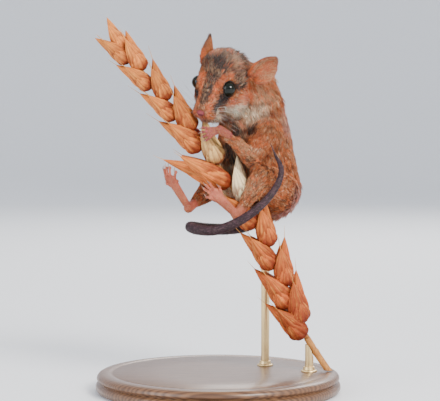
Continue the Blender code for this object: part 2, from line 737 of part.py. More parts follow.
def main():
    frame = head_frame()
    parts = make_body(frame)
    finish_head(parts["head"], frame)
    make_eyes(frame)
    grown = shape_of(body_lumps(frame), GAP + 0.1)
    clear_of_body = new_helper("clear_of_body", mesh_from(grown, "clear_of_body"))
    fuse(clear_of_body, 0.5, 3, 5000)
    for side in EAR_ROOTS:
        keep_largest(boolean(make_ear(side, frame), clear_of_body, "DIFFERENCE", spent=False))
    paw_lumps = []
    for name, paw in PAWS.items():
        paw_lumps += make_paw(name, parts[paw["limb"]])
    clear_of_paws = new_helper("clear_of_paws", mesh_from(shape_of(paw_lumps, GAP, detail=2), "clear_of_paws"))
    fuse(clear_of_paws, 0.25, 1, 3000)
    tail = make_tail()
    clear_of_tail = new_helper("clear_of_tail", tube_mesh("clear_of_tail", tail, 12, GAP))
    first_length = bpy.data.objects["tail_1"]
    keep_largest(boolean(first_length, clear_of_body, "DIFFERENCE", spent=False))
    perch = make_perch()
    for piece in perch[1:]:
        for clear in (clear_of_body, clear_of_paws, clear_of_tail):
            boolean(piece, clear, "DIFFERENCE", spent=False)
        thin_out(piece, WHEAT_KEPT * triangle_count(piece))
    body_rod, stem_rod = make_stand()
    keep_largest(boolean(body_rod, clear_of_body, "DIFFERENCE", spent=False))
    whole = stalk_path()
    stem_end = round((len(whole) - 1) * WHEAT_STARTS)
    stem_path = [(point, STALK_RADIUS) for point, _ in whole[: stem_end + 1]]
    clear_of_stem = new_helper("clear_of_stem", tube_mesh("clear_of_stem", stem_path, 12, GAP))
    keep_largest(boolean(stem_rod, clear_of_stem, "DIFFERENCE"))
    floor = block("under_stem", WORLD, (-40, -40, -10), (40, 40, BASE_THICK + GAP))
    keep_largest(boolean(perch[0], floor, "DIFFERENCE"))
    for helper in list(helpers.objects):
        bpy.data.objects.remove(helper)


for thing in list(bpy.data.objects):
    bpy.data.objects.remove(thing)
model = bpy.data.collections.new("field_mouse")
helpers = bpy.data.collections.new("helpers")
bpy.context.scene.collection.children.link(model)
bpy.context.scene.collection.children.link(helpers)
main()
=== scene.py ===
import math
import random

import bmesh
import bpy
import numpy as np
from mathutils import Matrix, Vector
from mathutils.kdtree import KDTree


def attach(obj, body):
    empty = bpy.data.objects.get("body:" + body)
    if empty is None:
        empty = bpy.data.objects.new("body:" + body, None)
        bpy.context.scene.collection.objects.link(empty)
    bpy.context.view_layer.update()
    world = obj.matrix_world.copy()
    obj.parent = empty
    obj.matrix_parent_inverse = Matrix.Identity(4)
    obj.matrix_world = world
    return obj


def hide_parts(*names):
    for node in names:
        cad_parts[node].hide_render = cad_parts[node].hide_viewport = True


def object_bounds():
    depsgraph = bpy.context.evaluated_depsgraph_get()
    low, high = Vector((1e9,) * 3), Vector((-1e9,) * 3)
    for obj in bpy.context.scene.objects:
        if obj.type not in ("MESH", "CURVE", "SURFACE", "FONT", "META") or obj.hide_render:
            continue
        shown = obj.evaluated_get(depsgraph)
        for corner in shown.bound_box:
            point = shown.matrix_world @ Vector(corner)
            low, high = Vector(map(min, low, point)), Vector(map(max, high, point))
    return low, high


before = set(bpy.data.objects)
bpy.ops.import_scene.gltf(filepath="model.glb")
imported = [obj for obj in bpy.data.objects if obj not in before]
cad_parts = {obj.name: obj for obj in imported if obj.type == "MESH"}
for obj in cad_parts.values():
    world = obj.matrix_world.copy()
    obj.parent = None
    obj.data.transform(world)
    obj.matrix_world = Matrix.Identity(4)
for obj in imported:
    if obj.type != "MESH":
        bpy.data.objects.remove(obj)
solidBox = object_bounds()
mm = 0.001

# The head's own frame, as in the part: X to the nose, Y to the animal's left, Z to the crown.
headPlace = {"at": (-0.9, -1.2, 78.7), "yaw": 35.0, "pitch": 32.0, "roll": -14.0}
eyePlace = {"at": (0.2, 4.25, 1.2), "look": (0.3, 0.9, 0.28), "radius": 1.95}
trunkLine = (
    ((8.0, 7.0, 79.2), 7.3),
    ((10.0, 8.6, 74.0), 8.2),
    ((11.0, 9.8, 67.0), 8.5),
    ((12.1, 10.6, 60.0), 8.8),
    ((13.2, 11.0, 52.8), 9.3),
)
limbLines = {
    "arm_left": (((12.6, 2.8, 67.4), 4.7), ((8.8, -2.2, 61.0), 2.7), ((1.5, -5.9, 67.8), 1.35)),
    "arm_right": (((6.0, 13.8, 67.0), 4.4), ((-0.8, 13.0, 61.4), 2.5), ((-5.2, 7.8, 67.0), 1.3)),
    "leg_left": (((15.2, 5.4, 52.0), 6.5), ((11.6, -3.0, 56.0), 3.7), ((6.2, -6.3, 48.4), 1.45)),
    "leg_right": (((8.0, 15.6, 51.0), 6.2), ((-1.4, 9.4, 52.8), 3.6), ((-6.2, 2.4, 49.0), 1.45)),
}


def frameAt(place, forward, left):
    x = Vector(forward).normalized()
    z = x.cross(Vector(left)).normalized()
    y = z.cross(x)
    return Matrix.Translation(Vector(place) * mm) @ Matrix((x, y, z)).transposed().to_4x4()


def headMatrix():
    turns = {key: math.radians(headPlace[key]) for key in ("yaw", "pitch", "roll")}
    yaw = Matrix.Rotation(-turns["yaw"], 3, "Z")
    forward, left = yaw @ Vector((0, -1, 0)), yaw @ Vector((1, 0, 0))
    forward = Matrix.Rotation(turns["pitch"], 3, left) @ forward
    left = Matrix.Rotation(turns["roll"], 3, forward) @ left
    return frameAt(headPlace["at"], forward, left)


head = headMatrix()
headTurn = np.array(head.to_3x3())
headAt = np.array(head.translation)


def intoHead(points):  # world metres to head millimetres
    return (np.asarray(points) - headAt) @ headTurn / mm


def fromEyes(spots):  # the ways from the two eyes to spots in the head's frame
    return [spots - np.array(eyePlace["at"]) * (1, side, 1) for side in (1, -1)]


def mirrored(spot, side):
    return Vector((spot[0], spot[1] * side, spot[2]))


# Small helpers for numbers.


def spanOf(rows):
    return np.linalg.norm(rows, axis=1)


def smoothStep(low, high, value):
    share = np.clip((value - low) / (high - low), 0, 1)
    return share * share * (3 - 2 * share)


def blend(first, second, share):
    return first * (1 - share) + second * share


def hill(value, width):
    return np.exp(-((value / width) ** 2))


def sized(centre, radii):  # stretches a unit shape by radii and puts it at a centre, all in millimetres
    return Matrix.Translation(Vector(centre) * mm) @ Matrix.Diagonal((*(Vector(radii) * mm), 1.0))


# Small helpers for objects.


def deselectAll():
    if bpy.context.object and bpy.context.object.mode != "OBJECT":
        bpy.ops.object.mode_set(mode="OBJECT")
    bpy.ops.object.select_all(action="DESELECT")


def choose(*things):
    deselectAll()
    for thing in things:
        thing.select_set(True)
    bpy.context.view_layer.objects.active = things[0]


def linked(name, data):  # a new object in the scene
    thing = bpy.data.objects.new(name, data)
    bpy.context.scene.collection.objects.link(thing)
    return thing


def added(operator, **values):  # a smooth new shape from one of the mesh operators
    deselectAll()
    operator(**values)
    bpy.ops.object.shade_smooth()
    return bpy.context.object


def meshOnly(thing):
    mesh = thing.data
    bpy.data.objects.remove(thing)
    return mesh


def addPiece(thing, name, material, replaced=()):
    thing.name = name
    thing.data.name = name
    thing.data.materials.clear()
    thing.data.materials.append(material)
    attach(thing, "root")
    if replaced:
        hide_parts(*replaced)
    return thing


def joinAll(things):
    choose(*things)
    bpy.ops.object.join()
    return bpy.context.object


def rework(mesh, work):  # a mesh after work on it through bmesh
    shape = bmesh.new()
    shape.from_mesh(mesh)
    work(shape)
    shape.to_mesh(mesh)
    shape.free()
    return mesh


def copyOfNode(name):  # a copy of a CAD node, with its doubled corners merged
    def merge(shape):
        bmesh.ops.remove_doubles(shape, verts=shape.verts, dist=1e-6)

    return linked(name + "_copy", rework(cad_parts[name].data.copy(), merge))


def modify(thing, kind, **values):
    choose(thing)
    modifier = thing.modifiers.new(kind.title(), kind)
    for name, value in values.items():
        setattr(modifier, name, value)
    bpy.ops.object.modifier_apply(modifier=modifier.name)


def regrow(thing, settings):  # one even closed skin
    modify(thing, "REMESH", mode="VOXEL", voxel_size=settings["voxel"] * mm)
    modify(thing, "SMOOTH", factor=0.5, iterations=settings["softening"])
    modify(thing, "TRIANGULATE")


def corners(thing, kind="co"):  # places, or normals
    values = np.empty(len(thing.data.vertices) * 3)
    thing.data.vertices.foreach_get(kind, values)
    return values.reshape(-1, 3)


def moveCorners(thing, places):
    thing.data.vertices.foreach_set("co", places.ravel())
    thing.data.update()


def unwrap(thing):
    choose(thing)
    bpy.ops.object.mode_set(mode="EDIT")
    bpy.ops.mesh.select_all(action="SELECT")
    bpy.ops.uv.smart_project(angle_limit=math.radians(75), island_margin=0.002)
    bpy.ops.object.mode_set(mode="OBJECT")
    bpy.ops.object.shade_smooth()


def paint(mesh, name, colours):  # a colour for each corner, red green blue and a fourth value
    layer = mesh.attributes.new(name, "FLOAT_COLOR", "POINT")
    layer.data.foreach_set("color", np.asarray(colours, dtype=np.float32).ravel())


def grey(values):  # a shade as a colour, for paint
    return np.column_stack((values, values, values, np.ones(len(values))))


def smoothPath(points, steps):
    rows = [Vector((*point, radius)) for point, radius in points]
    rows = [2 * rows[0] - rows[1], *rows, 2 * rows[-1] - rows[-2]]
    path = []
    for a, b, c, d in zip(rows, rows[1:], rows[2:], rows[3:]):
        for step in range(steps):
            t = step / steps
            bend = 2 * a - 5 * b + 4 * c - d
            twist = 3 * b - a - 3 * c + d
            path.append(0.5 * (2 * b + (c - a) * t + bend * t**2 + twist * t**3))
    path.append(rows[-2])
    return [(Vector(row[:3]), row[3]) for row in path]


def evenPath(path, gap):
    lengths = [0.0]
    for (a, _), (b, _) in zip(path, path[1:]):
        lengths.append(lengths[-1] + (b - a).length)
    count = max(2, round(lengths[-1] / gap))
    targets = np.linspace(0, lengths[-1], count + 1)
    columns = np.array([(*point, radius) for point, radius in path])
    return np.column_stack([np.interp(targets, lengths, columns[:, side]) for side in range(4)])


def makeBar(rows, resolution):  # rows of a place and a radius
    curve = bpy.data.curves.new("bar", "CURVE")
    curve.dimensions = "3D"
    curve.bevel_depth = mm
    curve.bevel_resolution = resolution
    curve.use_fill_caps = True
    spline = curve.splines.new("POLY")
    spline.points.add(len(rows) - 1)
    for spot, row in zip(spline.points, rows):
        spot.co = (*(np.array(row[:3]) * mm), 1.0)
        spot.radius = row[3]
    choose(linked("bar", curve))
    bpy.ops.object.convert(target="MESH")
    bar = bpy.context.object
    modify(bar, "WELD", merge_threshold=1e-6)
    bpy.ops.object.shade_smooth()
    return bar


def barAlong(at, count, resolution):  # a bar through the places and radii that at gives for 0 to 1
    return makeBar([at(step / count) for step in range(count + 1)], resolution)


# Shader maths as Python expressions.


class Wire:
    def __init__(self, recipe, socket):
        self.recipe = recipe
        self.socket = socket

    def sum(self, operation, first, second):
        return self.recipe.node("ShaderNodeMath", {0: first, 1: second}, operation=operation)

    def __add__(self, other):
        return self.sum("ADD", self, other)

    def __mul__(self, other):
        return self.sum("MULTIPLY", self, other)

    def __sub__(self, other):
        return self.sum("SUBTRACT", self, other)

    def __rsub__(self, other):
        return self.sum("SUBTRACT", other, self)

    __radd__ = __add__
    __rmul__ = __mul__


class Recipe:
    def __init__(self, name, specular, **shaderValues):
        self.material = bpy.data.materials.new(name)
        self.material.use_nodes = True
        self.tree = self.material.node_tree
        self.shader = self.tree.nodes["Principled BSDF"]
        self.shader.inputs["Specular IOR Level"].default_value = specular
        for socket, value in shaderValues.items():
            self.shader.inputs[socket.replace("_", " ")].default_value = value

    def node(self, kind, inputs=(), output=0, **settings):
        node = self.tree.nodes.new(kind)
        for name, value in settings.items():
            setattr(node, name, value)
        for key, value in dict(inputs).items():
            if isinstance(value, Wire):
                self.tree.links.new(value.socket, node.inputs[key])
            else:
                node.inputs[key].default_value = value
        return Wire(self, node.outputs[output])

    def places(self, scale=(1, 1, 1), turn=(0, 0, 0)):  # object coordinates, in millimetres times scale
        spot = self.node("ShaderNodeTexCoord", output="Object")
        size = tuple(side / mm for side in scale)
        return self.node("ShaderNodeMapping", {"Vector": spot, "Scale": size, "Rotation": turn})

    def noise(self, places, scale, detail=3.0, roughness=0.55, distortion=0.0):
        values = {"Vector": places, "Scale": scale, "Detail": detail, "Roughness": roughness}
        return self.node("ShaderNodeTexNoise", {**values, "Distortion": distortion})

    def ramp(self, factor, *stops):
        wire = self.node("ShaderNodeValToRGB", {"Fac": factor})
        elements = wire.socket.node.color_ramp.elements
        for _ in stops[2:]:
            elements.new(0.5)
        for element, (place, colour) in zip(elements, stops):
            element.position = place
            element.color = (*colour, 1.0)
        return wire

    def fade(self, factor, low, high, start=0, end=1):  # from start at low to end at high
        return self.ramp(factor, (low, (start,) * 3), (high, (end,) * 3))

    def mix(self, first, second, factor):
        def full(colour):
            return colour if isinstance(colour, Wire) else (*colour, 1.0)

        return self.node("ShaderNodeMix", {0: factor, 6: full(first), 7: full(second)}, 2, data_type="RGBA")

    def attribute(self, name, output="Color"):
        return self.node("ShaderNodeAttribute", output=output, attribute_name=name)

    def finish(self, relief=None, **wires):  # relief is a height, its strength and its depth in millimetres
        if relief:
            height, strength, depth = relief
            values = {"Height": height, "Strength": strength, "Distance": depth * mm}
            wires["Normal"] = self.node("ShaderNodeBump", values)
        for name, wire in wires.items():
            self.tree.links.new(wire.socket, self.shader.inputs[name.replace("_", " ")])
        return self.material


def coatMaterial(name, tone):
    recipe = Recipe(name, 0.22, Roughness=0.7, Sheen_Weight=0.12, Sheen_Roughness=0.5)
    along = recipe.attribute("coat", "Alpha")
    spots = recipe.places()
    patchy, fine = recipe.noise(spots, 0.9, 4.0), recipe.noise(spots, 6.0, 2.0)
    shade = tone * (0.35 + 0.75 * along) * (0.7 + 0.6 * patchy)
    colour = recipe.mix((0, 0, 0), recipe.attribute("coat"), shade)
    colour = recipe.mix(colour, (0.02, 0.012, 0.01), (fine - 0.5) * 0.5)
    relief = (recipe.noise(spots, 9.0, 3.0), 0.35, 0.12)
    return recipe.finish(Base_Color=colour, Roughness=0.62 + 0.25 * fine, relief=relief)


def skinMaterial(name, pale, dark, creaseScale, creaseDepth, roughness=0.5):
    recipe = Recipe(name, 0.35, Subsurface_Weight=0.12, Subsurface_Scale=0.002)
    patchy = recipe.noise(recipe.places(), 0.6, 4.0)
    wrinkles = recipe.noise(recipe.places((1.0, 1.0, 2.6), (0.5, 0.3, 0)), creaseScale, 4.0, 0.6, 0.8)
    colour = recipe.mix(dark, pale, recipe.fade(patchy, 0.3, 0.68) * 0.75 + 0.25 * wrinkles)
    relief = (wrinkles, 0.7, creaseDepth)
    return recipe.finish(Base_Color=colour, Roughness=roughness + 0.25 * patchy, relief=relief)


def noseMaterial():
    recipe = Recipe("noseSkin", 0.3, Subsurface_Weight=0.1, Subsurface_Scale=0.001)
    pebbles, patchy = recipe.noise(recipe.places(), 6.0, 3.0), recipe.noise(recipe.places(), 1.2, 3.0)
    colour = recipe.mix((0.11, 0.016, 0.021), (0.26, 0.045, 0.05), patchy)
    # The nostrils and the cleft are painted near black, as painted shade in the openings and the crease.
    colour = recipe.mix(colour, (0.012, 0.004, 0.004), recipe.attribute("pit"))
    return recipe.finish(Base_Color=colour, Roughness=0.45 + 0.25 * pebbles, relief=(pebbles, 0.6, 0.06))


def earMaterial():
    recipe = Recipe("earSkin", 0.3, Subsurface_Weight=0.2, Subsurface_Scale=0.002)
    patchy = recipe.noise(recipe.places(), 0.5, 4.0)
    veins = recipe.noise(recipe.places((1.0, 1.0, 0.35), (0, 0.5, 0.4)), 1.5, 5.0, 0.6, 1.4)
    colour = recipe.mix((0.19, 0.04, 0.015), (0.54, 0.135, 0.045), patchy)
    colour = recipe.mix(colour, (0.3, 0.045, 0.035), recipe.fade(veins, 0.52, 0.6) * 0.5)
    colour = recipe.mix(colour, (0.03, 0.012, 0.008), recipe.attribute("shade"))
    return recipe.finish(Base_Color=colour, Roughness=0.48 + 0.25 * patchy, relief=(veins, 0.5, 0.08))


def tailMaterial():
    recipe = Recipe("tailScales", 0.28)
    spots = recipe.places()
    patchy, flecks = recipe.noise(spots, 0.5, 4.0), recipe.noise(spots, 5.0, 2.0)
    streaky = recipe.noise(recipe.places((1.0, 1.0, 2.0)), 1.1, 3.0)
    dark = recipe.attribute("ring") * 0.5 + 0.55 * patchy
    colour = recipe.mix((0.005, 0.002, 0.003), (0.044, 0.018, 0.024), dark)
    # Lighter mauve streaks over the dark scales: painted highlights.
    paintedHighlight = recipe.fade(streaky * 0.7 + flecks * 0.3, 0.5, 0.62) * 0.35
    colour = recipe.mix(colour, (0.16, 0.078, 0.098), paintedHighlight)
    return recipe.finish(Base_Color=colour, Roughness=0.46 + 0.3 * patchy, relief=(flecks, 0.35, 0.05))


def strawMaterial(name, depth=1.0):  # red at each husk's base, gold fibres towards its tip
    recipe = Recipe(name, 0.2)
    fibresAndRibShade = recipe.attribute("fibresAndRibShade", "Vector")
    patchy = recipe.noise(recipe.places(), 0.45, 5.0)
    broad, fine = recipe.noise(fibresAndRibShade, 3.0, 3.0, 0.5), recipe.noise(fibresAndRibShade, 14.0, 3.0, 0.6)
    fibres = broad * 0.45 + fine * 0.55
    redden = recipe.fade(recipe.attribute("tint", "Alpha") * 0.75 + patchy * 0.7, 0.52, 0.88, 1, 0)
    colour = recipe.mix(recipe.attribute("tint"), (0.15, 0.011, 0.004), redden * (0.9 * depth))
    golden = recipe.fade(fibres, 0.5, 0.6) * (0.45 - redden * 0.38)
    colour = recipe.mix(colour, (0.8, 0.4, 0.09), golden)
    colour = recipe.mix(colour, (0.2, 0.035, 0.012), recipe.fade(fibres, 0.38, 0.47, 1, 0) * 0.65)
    # Darker in the grooves between the ribs: painted shade.
    colour = recipe.mix(colour, (0.12, 0.022, 0.01), (0.55 - recipe.attribute("fibresAndRibShade", "Alpha")) * 0.9)
    return recipe.finish(Base_Color=colour, Roughness=0.52 + 0.3 * fine, relief=(fine, 0.7, 0.12))


def woodMaterial():
    recipe = Recipe("baseWood", 0.4, Coat_Roughness=0.25)
    stretched = recipe.places((0.05, 0.6, 0.6), (0, 0, 0.25))
    warp = recipe.noise(stretched, 0.9, 4.0, 0.6, 0.6)
    values = {"Vector": stretched, "Scale": 0.5, "Distortion": 7.0, "Detail": 3.0, "Detail Scale": 1.2}
    rings = recipe.node("ShaderNodeTexWave", values, wave_type="BANDS", bands_direction="Y")
    pores = recipe.noise(recipe.places((0.15, 3.0, 3.0), (0, 0, 0.25)), 1.6, 3.0)
    tones = ((0.15, (0.075, 0.03, 0.012)), (0.55, (0.155, 0.068, 0.028)), (0.95, (0.22, 0.105, 0.045)))
    colour = recipe.ramp(rings * 0.6 + warp * 0.4, *tones)
    colour = recipe.mix(colour, (0.035, 0.014, 0.006), (pores - 0.55) * 1.6)
    wires = {"Base_Color": colour, "Coat_Weight": 0.5 + 0.2 * warp, "Roughness": 0.38 + 0.2 * pores}
    return recipe.finish(relief=(pores, 0.25, 0.08), **wires)


def brassMaterial():
    recipe = Recipe("rodBrass", 0.5)
    brushed = recipe.noise(recipe.places((1.0, 1.0, 0.06)), 6.0, 3.0)
    tarnish = recipe.noise(recipe.places(), 0.25, 4.0)
    colour = recipe.mix((0.8, 0.58, 0.28), (0.45, 0.3, 0.14), (tarnish - 0.45) * 1.2)
    wires = {"Base_Color": colour, "Metallic": 1.0 - 0.15 * tarnish}
    wires["Roughness"] = 0.22 + 0.2 * brushed + 0.15 * tarnish
    return recipe.finish(relief=(brushed, 0.12, 0.02), **wires)


# One noise through one ramp.
def mottledMaterial(name, specular, scale, *stops, detail=3.0, rough=None, **shaderValues):
    recipe = Recipe(name, specular, **shaderValues)
    tone = recipe.noise(recipe.places(), scale, detail)
    wires = {"Roughness": rough[0] + rough[1] * tone} if rough else {}
    return recipe.finish(Base_Color=recipe.ramp(tone, *stops), **wires)


# Camera, floor and lights.

viewSettings = {
    "target": (0.5, 0.0, 49.8),
    "distance": 420.0,
    "elevation": 3.0,
    "lens": 132.0,
    "clipStart": 0.01,
    "floorRadius": 900.0,
    "wallBend": 500.0,
    "wallHeight": 900.0,
    "wallSteps": 8,
    "wallSides": 96,
    "sky": ((0.9, 0.94, 1.0, 1.0), 0.85),
    "lightsAimAt": (0, 0, 0.06),
    "lights": {
        "keyLight": ((0.32, -0.42, 0.42), 0.22, 5.5, (1.0, 0.96, 0.9)),
        "fillLight": ((-0.5, -0.35, 0.25), 0.45, 2.6, (0.92, 0.96, 1.0)),
        "backLight": ((0.15, 0.55, 0.5), 0.4, 4.0, (1.0, 0.97, 0.92)),
    },
}


def makeCamera():
    lift = math.radians(viewSettings["elevation"])
    way = Vector((0, -math.cos(lift), math.sin(lift)))
    camera = linked("camera", bpy.data.cameras.new("camera"))
    camera.location = (Vector(viewSettings["target"]) + way * viewSettings["distance"]) * mm
    camera.rotation_euler = (-way).to_track_quat("-Z", "Y").to_euler()
    camera.data.lens = viewSettings["lens"]
    camera.data.clip_start = viewSettings["clipStart"]
    bpy.context.scene.camera = camera


def makeLights():
    for name, (place, size, power, colour) in viewSettings["lights"].items():
        lamp = bpy.data.lights.new(name, "AREA")
        lamp.size = size
        lamp.energy = power
        lamp.color = colour
        light = linked(name, lamp)
        light.location = place
        way = Vector(viewSettings["lightsAimAt"]) - Vector(place)
        light.rotation_euler = way.to_track_quat("-Z", "Y").to_euler()
    world = bpy.data.worlds.new("studio")
    world.use_nodes = True
    for socket, value in zip(world.node_tree.nodes["Background"].inputs, viewSettings["sky"]):
        socket.default_value = value
    bpy.context.scene.world = world


def lathe(outline, steps):  # turns an outline of radii and heights round Z
    mesh = bpy.data.meshes.new("lathe")
    edges = [(order, order + 1) for order in range(len(outline) - 1)]
    mesh.from_pydata([(x * mm, 0, z * mm) for x, z in outline], edges, [])
    thing = linked("lathe", mesh)
    modify(thing, "SCREW", steps=steps, render_steps=steps, use_merge_vertices=True, merge_threshold=1e-6)
    return thing


def makeStage():
    radius, bend = viewSettings["floorRadius"], viewSettings["wallBend"]
    outline = [(0.0, 0.0)]
    steps = viewSettings["wallSteps"]
    for step in range(steps + 1):
        angle = math.pi / 2 * step / steps
        outline.append((radius + bend * math.sin(angle), bend * (1 - math.cos(angle))))
    stage = lathe([*outline, (radius + bend, viewSettings["wallHeight"])], viewSettings["wallSides"])
    bpy.ops.object.shade_smooth()
    paper = ((0.3, (0.87, 0.885, 0.92)), (0.7, (0.9, 0.915, 0.95)))
    material = mottledMaterial("stagePaper", 0.1, 0.8, *paper, Roughness=0.9)
    stage.data.materials.append(material)


makeCamera()
makeStage()
makeLights()
print("camera, stage and lights are in place")


# The coat's guides. Each of the head's rows is a place, how far it reaches, the lie, and the hair's length,
# depth and lift, and one beside the middle counts for both sides.

coatSettings = {
    "voxel": 0.3,
    "gapFill": 0.22,
    "softening": 8,
    "skull": ((-5.4, 0.0, 1.6), 6.6),
    "napeReach": 3.2,
    "napeBehind": (-5.0, -7.5),
    "napeAbove": (-5.0, -1.0),
    "napeSoftening": 200,
    "droop": (0.85, (1.5, 8.0), (-10.0, -8.0)),
    "lidClear": (2.4, 4.2),
    "underCoat": (0.75, 0.5),
    "noseBed": ((8.2, 0.0, -1.5), (0.5, 1.5), 0.45),
    "headGuides": (
        ((7.6, 0.0, -0.2), 1.6, (-1.0, 0.0, 0.3), 0.45, 0.1, 14),
        ((4.2, 0.0, 1.2), 2.4, (-1.0, 0.0, 0.25), 0.9, 0.22, 15),
        ((0.4, 0.0, 3.8), 3.0, (-1.0, 0.0, 0.3), 1.5, 0.4, 16),
        ((-4.5, 0.0, 7.0), 4.0, (-1.0, 0.0, 0.0), 2.4, 0.55, 20),
        ((-10.5, 2.0, 4.5), 3.6, (-0.9, 0.2, -0.4), 3.3, 0.6, 26),
        ((6.0, 2.6, -2.4), 1.6, (-0.75, 0.6, -0.1), 0.55, 0.12, 16),
        ((3.0, 3.4, -0.8), 1.8, (-0.95, 0.3, -0.1), 0.8, 0.2, 15),
        ((1.4, 5.0, -2.2), 1.8, (-0.95, 0.15, -0.3), 1.3, 0.35, 16),
        ((-2.4, 6.2, -3.4), 3.0, (-0.9, 0.1, -0.5), 2.3, 0.7, 20),
        ((-4.0, 5.6, -7.4), 3.0, (-0.85, 0.1, -0.6), 2.8, 0.9, 22),
        ((-3.6, 6.0, 2.4), 2.6, (-1.0, 0.15, 0.15), 1.7, 0.5, 16),
        ((5.6, 0.0, -4.9), 1.6, (-0.8, 0.0, -0.5), 0.9, 0.2, 20),
        ((3.2, 0.0, -6.6), 2.2, (-0.45, 0.0, -0.9), 2.4, 0.45, 30),
        ((-1.0, 0.0, -9.4), 3.0, (-0.5, 0.0, -0.85), 3.0, 0.8, 26),
    ),
    "trunk": {"length": 3.1, "depth": 1.05, "lift": 17},
    "rump": ((-0.1, 0.5, -0.8), 1.08),
    "limbReach": 1.05,
    "steps": 6,
    "limbs": {"length": (2.7, 1.8, 0.7), "depth": (0.95, 0.55, 0.12), "lift": 15},
}


def guidesBetween(first, last, count, widen, hairs, lift):  # from one round section of a limb to the next
    (start, startRadius), (end, endRadius) = first, last
    lie = (Vector(end) - Vector(start)).normalized()
    rows = []
    for step in range(count):
        share = step / coatSettings["steps"]
        place = Vector(start).lerp(Vector(end), share) * mm
        radius = startRadius + (endRadius - startRadius) * share
        hair = [a + (b - a) * share for a, b in hairs]
        rows.append((*place, widen * radius * mm, *lie, *hair, lift))
    return rows


def coatGuides():
    rows = []
    for spot, reach, way, *hair in coatSettings["headGuides"]:
        for side in (1, -1) if spot[1] else (1,):
            lie = head.to_3x3() @ mirrored(way, side).normalized()
            rows.append((*(head @ (mirrored(spot, side) * mm)), reach * mm, *lie, *hair))
    trunk, limbs, steps = coatSettings["trunk"], coatSettings["limbs"], coatSettings["steps"]
    hair = (trunk["length"], trunk["depth"])
    for first, last in zip(trunkLine, trunkLine[1:]):
        rows += guidesBetween(first, last, steps, 1.0, [(value, value) for value in hair], trunk["lift"])
    end, radius = trunkLine[-1]
    way, widen = coatSettings["rump"]
    rows.append((*(Vector(end) * mm), widen * radius * mm, *Vector(way).normalized(), *hair, trunk["lift"]))
    for line in limbLines.values():
        for order in range(2):
            hairs = [limbs[key][order : order + 2] for key in ("length", "depth")]
            widen = coatSettings["limbReach"]
            rows += guidesBetween(line[order], line[order + 1], steps + order, widen, hairs, limbs["lift"])
    return np.array(rows)


guides = coatGuides()


def coatAt(points):  # the lie, length, depth and lift of the hair at each point
    points = np.asarray(points)
    sums = np.zeros((len(points), 7))
    for row in guides:
        weight = np.minimum((row[3] / np.maximum(spanOf(points - row[:3]), 1e-5)) ** 6, 1e4)
        sums += weight[:, None] * (*row[4:10], 1.0)
    lie = sums[:, :3] / (spanOf(sums[:, :3])[:, None] + 1e-9)
    return lie, *(sums[:, 3:6] / sums[:, 6:]).T


def droopAt(spots):  # how far the muzzle hangs below the solids, for places in the head's frame
    most, ahead, above = coatSettings["droop"]
    return most * smoothStep(*ahead, spots[:, 0]) * smoothStep(*above, spots[:, 2])


def drooped(spot):  # one place of the head's frame, hung as low as the muzzle is there
    return Vector(spot) - Vector((0, 0, float(droopAt(np.array([spot]))[0])))


# Colours of the coat, with painted shade and painted highlights among them, as soft round patches: the place,
# the radius, the colour and how strong it is.

coatColours = {
    "russet": (0.4, 0.12, 0.036),
    "flank": (0.52, 0.15, 0.044),
    "crown": (0.07, 0.037, 0.023),
    "temple": (0.2, 0.115, 0.07),
    "dark": (0.02, 0.011, 0.009),
    "rust": (0.64, 0.125, 0.03),
    "tan": (0.58, 0.31, 0.155),
    "cream": (0.86, 0.6, 0.38),
    "white": (0.97, 0.8, 0.58),
    "mauveHighlight": (0.5, 0.27, 0.27),
    "pink": (0.6, 0.22, 0.18),
}
coatColours = {name: np.array(colour) for name, colour in coatColours.items()}
facePatches = (
    ((4.4, -3.3, 85.2), 2.0, "tan", 0.42),
    ((6.6, -2.6, 84.8), 1.0, "dark", 0.65),
    ((5.4, -3.4, 83.0), 0.9, "dark", 0.65),
    ((7.8, 0.8, 86.0), 1.6, "rust", 0.5),
    ((2.6, -2.0, 88.2), 1.5, "rust", 0.3),
    ((-1.2, -1.3, 87.0), 1.7, "rust", 0.38),
    ((-0.4, -3.8, 84.6), 1.6, "dark", 0.6),
    ((3.0, -4.4, 81.7), 0.9, "rust", 0.85),
    ((5.5, -2.6, 79.5), 1.6, "crown", 0.95),
    ((5.9, -2.6, 81.0), 1.2, "temple", 0.7),
    ((7.9, -0.9, 80.3), 1.4, "rust", 1.0),
    ((7.4, 0.2, 78.3), 1.5, "rust", 1.0),
    ((9.6, 0.8, 76.2), 0.9, "dark", 0.5),
)
